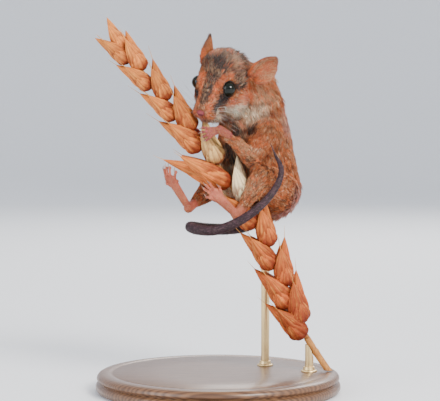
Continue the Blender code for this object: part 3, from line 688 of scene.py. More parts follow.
headPatches = (
    ((-6.0, 0.0, 7.0), 6.0, "crown", 0.95),
    ((-4.6, 1.0, 6.4), 2.4, "temple", 0.7),
    ((-8.6, 1.6, 6.6), 2.4, "temple", 0.45),
    ((-0.5, 0.0, 4.8), 3.6, "crown", 0.95),
    ((2.0, 0.0, 3.6), 2.3, "crown", 0.95),
    ((4.0, 0.0, 2.3), 1.9, "crown", 0.9),
    ((5.8, 0.0, 1.1), 1.6, "crown", 0.85),
    ((7.3, 0.0, 0.0), 1.1, "temple", 0.8),
    ((-3.8, 5.6, 3.6), 2.4, "crown", 0.8),
    ((-2.6, 5.8, 1.6), 1.3, "temple", 0.75),
    ((-4.8, 6.8, 1.4), 1.6, "crown", 0.6),
    ((0.6, 3.4, 4.1), 1.3, "rust", 0.85),
    ((2.0, 2.9, 3.0), 1.1, "rust", 0.95),
    ((3.4, 2.4, 2.0), 1.1, "rust", 1.0),
    ((5.0, 2.1, 0.9), 1.1, "rust", 1.0),
    ((6.6, 1.8, -0.3), 1.1, "rust", 0.95),
    ((7.4, 1.5, -1.8), 0.9, "rust", 0.8),
    ((2.3, 4.2, 0.0), 1.8, "dark", 1.0),
    ((3.6, 3.6, -0.9), 1.8, "dark", 1.0),
    ((5.0, 3.1, -1.8), 1.6, "dark", 1.0),
    ((1.2, 5.6, -2.0), 1.4, "rust", 0.95),
    ((-1.2, 6.7, -3.0), 2.0, "rust", 1.0),
    ((-3.4, 7.2, -2.0), 2.0, "rust", 1.0),
    ((-5.0, 7.6, -0.2), 1.9, "rust", 0.95),
    ((-6.4, 7.8, 1.4), 1.6, "rust", 0.9),
    ((-5.6, 8.4, -3.6), 2.4, "tan", 0.6),
    ((4.6, 3.0, -3.6), 1.5, "cream", 0.95),
    ((2.3, 4.4, -4.6), 2.1, "white", 1.0),
    ((0.0, 6.0, -5.8), 2.6, "white", 0.95),
    ((-2.6, 7.8, -6.8), 2.7, "cream", 1.0),
    ((-4.8, 9.6, -6.2), 2.6, "cream", 0.8),
    ((4.0, 0.0, -6.2), 3.0, "white", 0.9),
    ((7.7, 0.0, -3.8), 1.4, "pink", 0.6),
    ((8.2, 0.0, -1.6), 1.2, "pink", 0.9),
    # Dark under the nose pad and along the mouth's groove: painted shade in these creases.
    ((7.9, 0.0, -2.9), 0.4, "dark", 0.7),
    ((7.0, 0.7, -4.0), 0.5, "dark", 0.8),
    ((5.9, 1.6, -4.2), 0.55, "dark", 0.8),
    ((4.6, 2.3, -4.1), 0.6, "dark", 0.75),
    # Dark under the jaw and on the throat: painted shadow under the chin.
    ((0.4, 4.0, -9.4), 1.7, "dark", 0.75),
    ((-1.8, 8.6, -10.2), 1.9, "dark", 0.7),
    ((2.0, 0.0, -9.6), 2.0, "dark", 0.35),
)
bodyPatches = (
    ((4.5, 3.0, 67.5), 4.0, "cream", 0.35),
    ((3.0, 6.0, 61.0), 5.5, "cream", 0.8),
    ((5.0, 6.0, 52.0), 6.0, "cream", 0.8),
    ((16.0, -2.0, 66.0), 4.5, "flank", 0.8),
    ((9.0, -5.0, 64.0), 3.4, "tan", 0.55),
    ((18.0, 3.0, 58.0), 7.0, "flank", 0.9),
    ((10.6, -2.0, 66.6), 3.0, "rust", 0.5),
    # The next three dark patches, from the hand to the shoulder, are painted shadow under the chin.
    ((1.8, 0.6, 69.2), 2.0, "dark", 0.9),
    ((4.6, 2.0, 69.3), 1.6, "dark", 0.9),
    ((9.6, 0.8, 69.6), 1.7, "dark", 0.85),
    ((7.0, 0.2, 69.2), 1.2, "rust", 0.6),
    # These three dark patches are painted shade on the chest beneath the near forearm.
    ((2.6, 3.4, 65.2), 1.9, "dark", 0.95),
    ((3.2, 3.2, 63.0), 1.8, "dark", 0.95),
    ((4.2, 2.8, 61.2), 1.6, "dark", 0.9),
    ((14.0, -3.0, 52.0), 5.5, "flank", 0.9),
    ((9.0, -5.5, 54.5), 3.6, "tan", 0.5),
    # Painted shadow below the near elbow.
    ((8.6, -5.0, 59.6), 2.0, "dark", 0.5),
    ((16.0, 1.0, 60.0), 2.4, "dark", 0.35),
    # The mauve on the right-hand side of the rump and shoulder is a painted highlight.
    ((22.0, 8.0, 50.0), 5.5, "mauveHighlight", 0.85),
    ((20.0, 9.0, 45.0), 5.0, "mauveHighlight", 0.8),
    ((19.0, 8.0, 72.0), 5.0, "mauveHighlight", 0.45),
    ((13.0, 1.0, 78.0), 3.6, "tan", 0.65),
    ((12.0, 19.0, 66.0), 9.0, "crown", 0.5),
    ((10.0, 15.0, 80.0), 7.0, "crown", 0.6),
)


def coatColour(points):
    places, local = np.asarray(points) / mm, intoHead(points)
    local[:, 2] += droopAt(local)
    local[:, 1] = np.abs(local[:, 1])  # the head's two sides are alike
    colour = np.tile(coatColours["russet"], (len(points), 1))
    for spots, patches in ((places, bodyPatches), (local, headPatches), (places, facePatches)):
        for centre, radius, name, strength in patches:
            share = strength * (1 - smoothStep(0.55, 1.25, spanOf(spots - centre) / radius))
            colour = blend(colour, coatColours[name], share[:, None])
    return colour


# The skin: the furred solids joined in one surface, sunk by the depth of the coat.

fleshNodes = ("head", "neck", "torso", "arm_left", "arm_right", "leg_left", "leg_right")
mouthSettings = {
    "line": ((2.9, 2.6, -3.1), (4.3, 2.1, -3.9), (6.1, 1.2, -4.1), (6.9, 0.0, -3.9)),
    "width": 0.34,
    "depth": 0.42,
    "lip": 0.16,
}


def mouthRelief(side, spots):  # a groove with a raised edge, in millimetres outwards
    line = [np.array(mirrored(point, side)) for point in mouthSettings["line"]]
    best = np.full(len(spots), 1e9)
    for start, end in zip(line, line[1:]):
        along = end - start
        share = np.clip(((spots - start) @ along) / (along @ along), 0, 1)
        best = np.minimum(best, spanOf(spots - start - share[:, None] * along))
    width = mouthSettings["width"]
    return mouthSettings["lip"] * hill(best - 2.2 * width, width) - mouthSettings["depth"] * hill(best, width)


def softenNape(skin):  # rounds the crease between the back of the skull and the shoulders
    places = corners(skin)
    spots = intoHead(places)
    centre, radius = coatSettings["skull"]
    reach = coatSettings["napeReach"]
    weight = 1 - smoothStep(0.4 * reach, reach, spanOf(spots - centre) - radius)
    weight *= 1 - smoothStep(0.4 * reach, reach, spanOf(places / mm - trunkLine[0][0]) - trunkLine[0][1])
    weight *= smoothStep(*coatSettings["napeBehind"], spots[:, 0])
    weight *= smoothStep(*coatSettings["napeAbove"], spots[:, 2])
    group = skin.vertex_groups.new(name="nape")
    for order in np.nonzero(weight > 0.01)[0]:
        group.add([int(order)], float(weight[order]), "REPLACE")
    modify(skin, "SMOOTH", factor=0.5, iterations=coatSettings["napeSoftening"], vertex_group="nape")
    skin.vertex_groups.clear()


def makeSkin():
    copies = [copyOfNode(name) for name in fleshNodes]
    for copy in copies:
        modify(copy, "DISPLACE", strength=coatSettings["gapFill"] * mm, mid_level=0.0)
    skin = joinAll(copies)
    regrow(skin, coatSettings)
    softenNape(skin)
    places, normals = corners(skin), corners(skin, "normal")
    depth = coatAt(places)[2]
    for away in fromEyes(intoHead(places)):  # the lids aren't sunk
        depth = depth * smoothStep(*coatSettings["lidClear"], spanOf(away))
    sunk = places - normals * (depth[:, None] + coatSettings["gapFill"]) * mm
    spots = intoHead(sunk)
    bedAt, bedReach, bedDepth = coatSettings["noseBed"]
    relief = bedDepth * (smoothStep(*bedReach, spanOf(spots - bedAt)) - 1)
    relief += mouthRelief(1, spots) + mouthRelief(-1, spots)
    sunk = sunk + normals * relief[:, None] * mm - droopAt(spots)[:, None] * headTurn[:, 2] * mm
    moveCorners(skin, sunk)
    under, along = coatSettings["underCoat"]
    paint(skin.data, "coat", np.column_stack((coatColour(places) * under, np.full(len(places), along))))
    unwrap(skin)
    return addPiece(skin, "skin", coatMaterial("skinCoat", 0.9), fleshNodes)


skin = makeSkin()
print("the skin is joined:", len(skin.data.polygons), "faces")


# The coat: thin bent tufts, rooted on the skin.

tuftSettings = {
    "count": 108000,
    "headShare": 2.3,
    "width": 0.19,
    "headWidth": 0.115,
    "rooted": 0.08,
    "stray": 0.15,
    "lengths": (0.7, 1.2),
    "tilts": (0.6, 1.5),
    "widths": (0.7, 1.3),
    "turn": 0.12,
    "bright": (0.16, 0.12),
    "patch": 0.003,
    "perPiece": 19000,
    "eyeClear": 2.25,
    "eyePush": (1.8, 2.2, 4.4),
    "eyeShort": (2.2, 4.2),
    "noseClear": ((8.0, 0.0, -1.55), 1.0),
    "clumps": 15000,
    "clumpReach": 1.3,
    "gather": 0.62,
    "ownLot": 0.25,
}
# What streaks a coat of a brightness between two bounds: the share of clumps, the colour, how strongly.
streaks = {
    "black": (0.0, 0.035, (0.12, "temple", 0.55), (0.06, "rust", 0.55)),
    "brown": (0.035, 0.13, (0.24, "dark", 0.7), (0.08, "rust", 0.6), (0.2, "tan", 0.4), (0.04, "cream", 0.3)),
    "russet": (0.13, 0.42, (0.11, "dark", 0.55), (0.24, "rust", 0.65), (0.2, "tan", 0.6), (0.06, "cream", 0.4)),
    "light": (0.42, 2.0, (0.12, "rust", 0.5), (0.14, "temple", 0.7), (0.13, "tan", 0.75), (0.2, "white", 0.6)),
}
# A tuft's seven corners: its faces, their spots on a patch of the skin's map, and how far along they lie.
tuftFaces = (
    (0, 4, 1), (0, 3, 4), (1, 5, 2), (1, 4, 5), (2, 3, 0),
    (2, 5, 3), (3, 6, 4), (4, 6, 5), (5, 6, 3), (0, 1, 2),
)
tuftPatch = ((-0.5, -0.5), (0.5, -0.5), (0, -0.5), (-0.4, 0), (0.4, 0), (0, 0.1), (0, 0.5))
tuftAlong = (0, 0, 0, 0.6, 0.6, 0.65, 1.0)


def scatterRoots(thing, count, draw, weigh):  # roots spread over a surface, their normals and places on its map
    mesh = thing.data
    triangles = np.empty(len(mesh.polygons) * 3, dtype=np.int64)
    mesh.polygons.foreach_get("vertices", triangles)
    triangles = triangles.reshape(-1, 3)
    maps = np.empty(len(mesh.loops) * 2)
    mesh.uv_layers.active.data.foreach_get("uv", maps)
    places, normals = corners(thing), corners(thing, "normal")
    a, b, c = (places[triangles[:, side]] for side in range(3))
    weight = 0.5 * spanOf(np.cross(b - a, c - a)) * weigh((a + b + c) / 3, normals[triangles[:, 0]])
    picks = draw.choice(len(triangles), count, p=weight / weight.sum())
    u, v = draw.random(count), draw.random(count)
    u, v = np.where(u + v > 1, (1 - u, 1 - v), (u, v))
    shares = np.column_stack((1 - u - v, u, v))[:, :, None]
    chosen = (places[triangles[picks]], normals[triangles[picks]], maps.reshape(-1, 3, 2)[picks])
    roots, ways, spots = ((rows * shares).sum(axis=1) for rows in chosen)
    return roots, ways / spanOf(ways)[:, None], spots


def shapeTufts(roots, normals, lie, length, tilt, width, draw):  # two rings of three corners and a tip
    length, tilt, width = (values[:, None] for values in (length, tilt, width))
    lie = lie - normals * (lie * normals).sum(axis=1)[:, None]
    lie /= spanOf(lie)[:, None] + 1e-9
    across = np.cross(lie, normals)
    up = lie * np.cos(tilt) + normals * np.sin(tilt)
    flat = lie * np.cos(0.3 * tilt) + normals * np.sin(0.3 * tilt)
    turn = draw.normal(0, tuftSettings["turn"], len(roots))[:, None] * across
    middle = roots + (up + turn) * (0.5 * length)
    tip = middle + (flat + 2.0 * turn) * (0.5 * length)
    base = roots - normals * tuftSettings["rooted"] * mm
    side, rise = across * (0.5 * width), normals * (0.45 * width)
    ring = [base - side, base + side, base + rise]
    ring += [middle - 0.85 * side, middle + 0.85 * side, middle + 0.85 * rise]
    return np.stack([*ring, tip], axis=1)


def tuftPiece(name, points, maps, colour):
    count = len(points)
    corner = (np.array(tuftFaces) + 7 * np.arange(count)[:, None, None]).reshape(-1, 3)
    mesh = bpy.data.meshes.new(name)
    mesh.vertices.add(count * 7)
    mesh.vertices.foreach_set("co", points.ravel())
    mesh.loops.add(corner.size)
    mesh.loops.foreach_set("vertex_index", corner.ravel())
    mesh.polygons.add(len(corner))
    mesh.polygons.foreach_set("loop_start", np.arange(len(corner)) * 3)
    mesh.update(calc_edges=True)
    layer = mesh.uv_layers.new(name="OFBake")
    spots = maps[:, None, :] + np.array(tuftPatch) * tuftSettings["patch"]
    layer.data.foreach_set("uv", spots.reshape(-1, 2)[corner.ravel()].ravel())
    paint(mesh, "coat", np.column_stack((np.repeat(colour, 7, axis=0), np.tile(tuftAlong, count))))
    mesh.polygons.foreach_set("use_smooth", np.ones(len(corner), dtype=bool))
    addPiece(linked(name, mesh), name, furCoat)


def growHair(thing, name, hair, draw, weigh, guide, tint):  # one piece of short hair on bare skin
    count = hair["count"]
    roots, normals, maps = scatterRoots(thing, count, draw, weigh)
    lie, trim = guide(roots, normals)
    lie = lie + draw.normal(0, hair["stray"], (count, 3))
    length = hair["length"] * trim * draw.uniform(*hair["lengths"], count) * mm
    width = hair["width"] * draw.uniform(*tuftSettings["widths"], count) * mm
    tilt = np.radians(draw.uniform(*hair["tilts"], count))
    points = shapeTufts(roots, normals, lie, length, tilt, width, draw)
    tuftPiece(name, points, maps, tint(roots, normals))


def faceShare(local):  # 1 on the face, 0 from the nape back
    return smoothStep(-9, 1, local[:, 0]) * (np.abs(local[:, 2]) < 12)


def weighCoat(points, _):
    local = intoHead(points)
    weight = 1 + (tuftSettings["headShare"] - 1) * faceShare(local)
    for away in fromEyes(local):
        weight[spanOf(away) < tuftSettings["eyeClear"]] = 0
    local[:, 2] += droopAt(local)
    centre, reach = tuftSettings["noseClear"]
    weight[spanOf(local - centre) < reach] = 0
    return weight


def gatherTufts(points, roots, share, draw):  # neighbours lean together, so that the coat parts in locks
    seeds = draw.choice(len(roots), tuftSettings["clumps"], replace=False)
    tree = KDTree(len(seeds))
    for order, seed in enumerate(seeds):
        tree.insert(roots[seed], order)
    tree.balance()
    nearest = np.array([tree.find(root)[1] for root in roots])
    leader = seeds[nearest]
    near = spanOf(roots - roots[leader]) < tuftSettings["clumpReach"] * mm
    pull = (share * draw.uniform(0.4, 1.2, len(roots)) * near)[:, None]
    points[:, 6] += pull * (points[leader, 6] - points[:, 6])
    middles = points[:, 3:6].mean(axis=1)
    points[:, 3:6] += 0.45 * (pull * (middles[leader] - middles))[:, None, :]
    return nearest


def streakColours(roots, clump, draw):
    colour = coatColour(roots)
    tone = colour.mean(axis=1)
    count, clumpCount = len(roots), clump.max() + 1
    lot = draw.random(clumpCount)[clump]
    isOwn = draw.random(count) < tuftSettings["ownLot"]
    lot = np.where(isOwn, draw.random(count), lot)
    for low, high, *mixes in streaks.values():
        chosen = (tone >= low) & (tone < high)
        start = 0.0
        for part, name, strength in mixes:
            some = chosen & (lot >= start) & (lot < start + part)
            colour[some] = blend(colour[some], coatColours[name], strength)
            start += part
    shared, own = tuftSettings["bright"]
    bright = draw.lognormal(0, shared, clumpCount)[clump] * draw.lognormal(0, own, count)
    return np.clip(colour * bright[:, None], 0, 1)


def makeCoat():
    draw = np.random.default_rng(11)
    count = tuftSettings["count"]
    roots, normals, maps = scatterRoots(skin, count, draw, weighCoat)
    local = intoHead(roots)
    face = faceShare(local)
    lie, length, _, lift = coatAt(roots)
    shorten = np.ones(count)
    push, *pushReach = tuftSettings["eyePush"]
    for away in fromEyes(local):  # hair parts round the eyes and is shorter there
        distance = spanOf(away)
        away = (away / distance[:, None]) @ headTurn.T
        lie += away * (push * (1 - smoothStep(*pushReach, distance)))[:, None]
        shorten *= 0.35 + 0.65 * smoothStep(*tuftSettings["eyeShort"], distance)
    lie += draw.normal(0, tuftSettings["stray"], (count, 3))
    length = length * shorten * draw.uniform(*tuftSettings["lengths"], count) * mm
    tilt = np.radians(lift * draw.uniform(*tuftSettings["tilts"], count)) * (0.4 + 0.6 * shorten)
    width = blend(tuftSettings["width"], tuftSettings["headWidth"], face) * (0.6 + 0.4 * shorten)
    width = width * draw.uniform(*tuftSettings["widths"], count) * mm
    points = shapeTufts(roots, normals, lie, length, tilt, width, draw)
    clump = gatherTufts(points, roots, tuftSettings["gather"] * (1 - 0.35 * face), draw)
    colour = streakColours(roots, clump, draw)
    order = np.argsort(points[:, 6, 2], kind="stable")
    pieces = np.array_split(order, math.ceil(count / tuftSettings["perPiece"]))
    for number, chosen in enumerate(pieces, 1):
        tuftPiece(f"coat_{number}", points[chosen], maps[chosen], colour[chosen])
    return len(pieces)


furCoat = coatMaterial("furCoat", 1.0)
print("the coat has", makeCoat(), "pieces")


# Eyes and lids.

lidSettings = {"out": 0.5, "thick": 0.125, "reach": 0.085, "slant": 0.22, "stretch": 1.04, "cornea": 0.10}


def makeEyes():
    rim = skinMaterial("lidSkin", (0.045, 0.024, 0.018), (0.012, 0.007, 0.006), 6.0, 0.04)
    stops = ((0.3, (0.002, 0.003, 0.002)), (0.75, (0.006, 0.01, 0.005)))
    gloss = mottledMaterial("eyeGloss", 0.3, 0.8, *stops, detail=2.0, rough=(0.04, 0.04), Roughness=0.05)
    radius, out = eyePlace["radius"], lidSettings["out"]
    for side, name in ((1, "left"), (-1, "right")):
        at, look = mirrored(eyePlace["at"], side), mirrored(eyePlace["look"], side).normalized()
        turn = look.to_track_quat("Z", "X").to_matrix().to_4x4()
        eye = added(bpy.ops.mesh.primitive_uv_sphere_add, segments=48, ring_count=32, radius=radius * mm)
        for corner in eye.data.vertices:  # a slightly fuller cornea
            share = max(0.0, corner.co.z / (radius * mm) - 0.55) / 0.45
            corner.co.z += lidSettings["cornea"] * mm * share * share
        eye.data.transform(head @ Matrix.Translation(at * mm) @ turn)
        addPiece(eye, f"eye_{name}_gloss", gloss, (f"eye_{name}",))
        ring = math.sqrt(radius**2 - out**2) + lidSettings["reach"]
        radii = {"major_radius": ring * mm, "minor_radius": lidSettings["thick"] * mm}
        lid = added(bpy.ops.mesh.primitive_torus_add, major_segments=48, minor_segments=10, **radii)
        for corner in lid.data.vertices:  # drawn out towards the two corners of the eye
            angle = math.atan2(corner.co.y, corner.co.x)
            corner.co.z -= lidSettings["slant"] * mm * math.cos(angle) ** 2
            corner.co.x *= lidSettings["stretch"]
        lid.data.transform(head @ Matrix.Translation((at + look * out) * mm) @ turn)
        addPiece(lid, f"lid_{name}", rim)


makeEyes()
print("the eyes are in")


# Nose pad.

noseSettings = {"at": (7.82, 0.0, -1.58), "size": (0.86, 1.04, 0.84), "nostril": (0.56, -0.1), "pit": 0.45}


def makeNose():
    nose = added(bpy.ops.mesh.primitive_uv_sphere_add, segments=64, ring_count=48, radius=1.0)
    x, y, z = corners(nose).T
    nostril, low = noseSettings["nostril"]
    front, aside = np.maximum(0, x), np.abs(y) - nostril
    slant = z - low + 0.5 * aside
    cleft = hill(y, 0.1) * front * smoothStep(0.5, 0.0, z)
    pit = hill(aside, 0.25) * hill(slant, 0.19) * front
    wing = hill(aside, 0.34) * hill(slant - 0.42, 0.24) * front
    dip = noseSettings["pit"] * pit + 0.22 * cleft - 0.14 * wing
    moveCorners(nose, np.column_stack((x - dip, y * (1.0 - 0.25 * np.maximum(0, -z)), z)))
    # The pit paint marks the nostrils and the cleft, for the nose's painted shade.
    paint(nose.data, "pit", grey(np.minimum(1, 1.15 * pit + 0.6 * cleft)))
    nose.data.transform(head @ sized(drooped(noseSettings["at"]), noseSettings["size"]))
    addPiece(nose, "nose_pad", noseMaterial())


makeNose()


# Ears: finer copies of the solids' cups, with short hair on the backs and rims.

earSettings = {
    "voxel": 0.14,
    "softening": 6,
    "tips": {"left": (-0.62, 0.58, 0.48), "right": (-0.68, -0.15, 0.72)},
    "openings": {"left": (0.7, 0.7, 0.1), "right": (0.5, -0.86, 0.1)},
    "darkEdges": {"left": (-0.3, 0.0, 1.0), "right": (-1.0, 0.0, -0.1)},
    "edgeShares": {"left": 0.45, "right": 0.95},
    "bands": 24,
    "innerShare": 0.1,
    "hair": {
        "count": 6000, "length": 1.25, "lengths": (0.6, 1.2), "width": 0.1, "stray": 0.22, "tilts": (5, 20),
    },
}


def earWay(key, side):
    return np.array(head.to_3x3() @ Vector(earSettings[key][side]).normalized())


def earReach(side, places):  # 0 at the ear's root and 1 at its tip
    reach = places @ earWay("tips", side)
    return (reach - reach.min()) / (reach.max() - reach.min())


def earShade(side, places):  # how dark the ear is: at its tip and along its outer edge
    reach = earReach(side, places)
    across = places @ np.array(Vector(earSettings["darkEdges"][side]).normalized()) / mm
    band = (reach * earSettings["bands"]).astype(int)
    edge = np.full(earSettings["bands"] + 1, -1e9)
    np.maximum.at(edge, band, across)
    rim = smoothStep(-1.1, -0.4, across - edge[band]) * smoothStep(0.3, 0.45, reach)
    return earSettings["edgeShares"][side] * np.maximum(smoothStep(0.8, 0.9, reach), rim)


def makeEarHair(ear, side, draw):
    tip, opening = earWay("tips", side), earWay("openings", side)
    opening = opening - tip * (opening @ tip)
    opening /= np.linalg.norm(opening)

    def weigh(points, normals):
        facing = normals @ opening
        inner = smoothStep(0.15, 0.5, facing)
        return 1 + 1.2 * (1 - np.abs(facing)) - (1 - earSettings["innerShare"]) * inner

    def guide(roots, normals):
        return tip, (1.1 - 0.55 * earReach(side, roots)) * (1 - 0.4 * smoothStep(0.1, 0.5, normals @ opening))

    def tint(roots, normals):
        count, facing, reach = len(roots), normals @ opening, earReach(side, roots)
        inside = smoothStep(0.1, 0.5, facing)
        layers = (
            ("tan", inside),
            ("rust", 0.7 * smoothStep(0.45, 0.1, reach) * (draw.random(count) < 0.5)),
            # Dark hair low inside the cup: painted shade.
            ("crown", 0.6 * smoothStep(0.3, 0.05, reach) * inside),
            ("rust", 0.85 * (1 - smoothStep(0.25, 0.6, np.abs(facing)))),
            ("dark", earShade(side, roots) * (draw.random(count) < 0.85)),
        )
        colour = coatColours["russet"]
        for name, share in layers:
            colour = blend(colour, coatColours[name], share[:, None])
        return np.clip(colour * draw.lognormal(0, 0.25, count)[:, None], 0, 1)

    growHair(ear, f"ear_{side}_hair", earSettings["hair"], draw, weigh, guide, tint)


def makeEars():
    draw = np.random.default_rng(23)
    skinTone = earMaterial()
    for side in ("left", "right"):
        ear = copyOfNode(f"ear_{side}")
        regrow(ear, earSettings)
        unwrap(ear)
        paint(ear.data, "shade", grey(earShade(side, corners(ear))))
        addPiece(ear, f"ear_{side}_skin", skinTone, (f"ear_{side}",))
        makeEarHair(ear, side, draw)


makeEars()
print("nose and ears are in")


# Hands and feet, each one skin grown from its bones' lumps, with its own claws.

pawSettings = {
    "voxel": 0.1,
    "softening": 4,
    "claw": 1.05,
    "intoArm": 1.6,
    "clawRadius": 0.18,
    "hair": {
        "count": 1500, "length": 0.6, "lengths": (0.5, 1.2), "width": 0.055, "stray": 0.25, "tilts": (4, 16),
    },
    "hand": {
        "width": 2.9,
        "thick": 0.76,
        "digit": 0.35,
        "knuckles": 0.42,
        "wrist": 1.1,
        "digits": ((-0.75, 0.35), (-0.27, 0.0), (0.27, 0.0), (0.75, 0.35)),
        "pale": (0.38, 0.068, 0.078),
        "dark": (0.17, 0.019, 0.03),
    },
    "foot": {
        "width": 3.1,
        "thick": 0.82,
        "digit": 0.37,
        "knuckles": 0.66,
        "wrist": 1.25,
        "digits": ((-0.88, 2.9), (-0.42, 0.5), (0.0, 0.2), (0.42, 0.5), (0.86, 2.2)),
        "pale": (0.54, 0.155, 0.085),
        "dark": (0.28, 0.045, 0.03),
    },
    "places": {
        "hand_left": ("arm_left", (0.4, -6.3, 68.3), (-4.8, -6.4, 66.8), (0, 1, 0)),
        "hand_right": ("arm_right", (-5.9, 6.9, 67.6), (-10.6, 4.6, 69.0), (0, -1, 0)),
        "foot_left": ("leg_left", (4.9, -6.9, 46.4), (-3.9, -6.7, 54.8), (0, 1, 0)),
        "foot_right": ("leg_right", (-7.6, 0.6, 47.8), (-14.4, -0.8, 59.0), (0.5, 0.75, 0.35)),
    },
}


def meshFromLumps(ball, lumps):  # copies of one ball, each placed and stretched
    shape = bmesh.new()
    for place, centre, radii in lumps:
        copy = ball.copy()
        copy.transform(place @ sized(centre, radii))
        shape.from_mesh(copy)
        bpy.data.meshes.remove(copy)
    mesh = bpy.data.meshes.new("lumps")
    shape.to_mesh(mesh)
    shape.free()
    return linked("lumps", mesh)


def ballsAlong(place, start, end, startRadius, endRadius, count):
    rows = []
    for step in range(count + 1):
        share = step / count
        radius = startRadius + (endRadius - startRadius) * share
        rows.append((place, start.lerp(end, share), (radius,) * 3))
    return rows


def makePawHair(name, paw, place, length, draw):  # thin short hair, on the back of the hand or foot only
    turn = np.array(place.to_3x3())
    at = np.array(place.translation)

    def weigh(points, normals):
        above = smoothStep(0.0, 0.6, normals @ turn[:, 2])
        ahead = ((points - at) @ turn[:, 0]) / (length * mm)
        return 0.001 + above * (1 - 0.8 * smoothStep(0.1, 0.8, ahead))

    def tint(roots, _):
        return blend(coatColours["tan"], coatColours["rust"], draw.random(len(roots))[:, None])

    growHair(paw, name + "_hair", pawSettings["hair"], draw, weigh, lambda *_: (turn[:, 0], 1.0), tint)


def makeClaw(place, end):
    def at(t):
        lift = 0.16 + 0.18 * math.sin(math.pi * t) - 0.95 * t**1.6
        spot = place @ ((end + Vector((0.15 + pawSettings["claw"] * t, 0, lift))) * mm) / mm
        return *spot, pawSettings["clawRadius"] * (1.0 - t) ** 0.7 + 0.015

    return barAlong(at, 8, 3)


def makePaw(name, ball, pink, horn, draw):
    limb, heel, tip, sole = pawSettings["places"][name]
    sizes = pawSettings[name.split("_")[0]]
    width, thick, radius = sizes["width"], sizes["thick"], sizes["digit"]
    forward = Vector(tip) - Vector(heel)
    place = frameAt(heel, forward, forward.cross(Vector(sole)))
    length = forward.length
    knuckles = sizes["knuckles"] * length
    (elbow, _), (wrist, wristRadius) = limbLines[limb][1:]
    start = Vector(wrist) + (Vector(elbow) - Vector(wrist)).normalized() * pawSettings["intoArm"]
    lumps = ballsAlong(Matrix.Identity(4), start, Vector(heel), 0.85 * wristRadius, sizes["wrist"], 8)
    palmSteps = math.ceil(knuckles / 0.5)
    for step in range(palmSteps + 1):
        share = step / palmSteps
        radii = (0.9, width * (0.32 + 0.16 * share), thick * (1.0 - 0.12 * share))
        lumps.append((place, (0.3 + knuckles * share, 0, 0), radii))
    claws = []
    for aside, short in sizes["digits"]:
        aside *= (1 if name.endswith("left") else -1) * 0.5 * width
        start = Vector((knuckles - 0.5 * short, 0.82 * aside, 0.12))
        end = Vector((length - pawSettings["claw"] - short, 1.5 * aside, -0.62))
        middle = start.lerp(end, 0.55) + Vector((0, 0, 0.62))
        lumps += ballsAlong(place, start, middle, 1.12 * radius, 0.92 * radius, 6)
        lumps += ballsAlong(place, middle, end, 0.92 * radius, 0.92 * radius, 6)
        lumps.append((place, middle + Vector((0, 0, 0.08)), (1.14 * radius,) * 3))
        lumps.append((place, end + Vector((0, 0, -0.14)), (1.3 * radius, 1.18 * radius, 1.1 * radius)))
        lumps.append((place, start + Vector((0.1, 0, -0.5 * thick)), (1.3 * radius,) * 3))
        claws.append(makeClaw(place, end))
    paw = meshFromLumps(ball, lumps)
    regrow(paw, pawSettings)
    unwrap(paw)
    addPiece(paw, name + "_skin", pink, (name,))
    makePawHair(name, paw, place, length, draw)
    addPiece(joinAll(claws), name + "_claws", horn)


def makePaws():
    draw = np.random.default_rng(31)
    pinks = {}
    for kind in ("hand", "foot"):
        tones = pawSettings[kind]
        pinks[kind] = skinMaterial(kind + "Skin", tones["pale"], tones["dark"], 2.4, 0.07, 0.42)
    stops = ((0.3, (0.2, 0.095, 0.065)), (0.7, (0.42, 0.25, 0.18)))
    horn = mottledMaterial("clawHorn", 0.5, 1.5, *stops, rough=(0.28, 0.2), Roughness=0.35)
    ball = meshOnly(added(bpy.ops.mesh.primitive_ico_sphere_add, subdivisions=3, radius=1.0))
    for name in pawSettings["places"]:
        makePaw(name, ball, pinks[name.split("_")[0]], horn, draw)


# The tail: one bar with rings of scales.

tailSettings = {
    "line": (
        ((12.2, 15.6, 46.6), 1.6),
        ((8.4, 15.0, 42.5), 1.56),
        ((2.6, 12.4, 41.5), 1.52),
        ((-2.8, 8.0, 41.9), 1.46),
        ((-6.2, 2.6, 42.7), 1.4),
        ((-7.1, -3.2, 43.1), 1.36),
        ((-4.9, -8.0, 42.7), 1.32),
        ((-0.4, -10.2, 42.8), 1.26),
        ((5.4, -10.9, 45.1), 1.16),
        ((10.8, -10.6, 49.0), 1.02),
        ((14.8, -9.2, 53.7), 0.86),
        ((16.2, -6.9, 58.0), 0.68),
        ((14.8, -4.6, 61.6), 0.5),
        ((13.5, -4.0, 64.6), 0.36),
    ),
    "ring": 0.42,
    "pointsPerRing": 4,
    "swell": 0.055,
    "point": (60, 0.22),
    "sides": 7,
    "hair": {
        "count": 3200, "length": 0.75, "lengths": (0.5, 1.2), "width": 0.05, "stray": 0.12, "tilts": (6, 18),
    },
}


def nearestRows(places, rows):  # a few thousand places at a time, to save memory
    parts = np.array_split(places, 1 + len(places) // 4000)
    return np.concatenate([((part[:, None] - rows[:, :3]) ** 2).sum(axis=2).argmin(axis=1) for part in parts])


def makeTailHair(tail, rows):
    draw = np.random.default_rng(37)
    ways = np.gradient(rows[:, :3], axis=0)
    gap = tailSettings["pointsPerRing"]

    def guide(roots, _):
        way = ways[nearestRows(roots / mm, rows[::gap]) * gap]
        return way / spanOf(way)[:, None], 1.0

    def tint(roots, _):
        return blend(coatColours["dark"], coatColours["temple"], (draw.random(len(roots)) ** 2)[:, None])

    growHair(tail, "tail_hair", tailSettings["hair"], draw, lambda *_: 1.0, guide, tint)


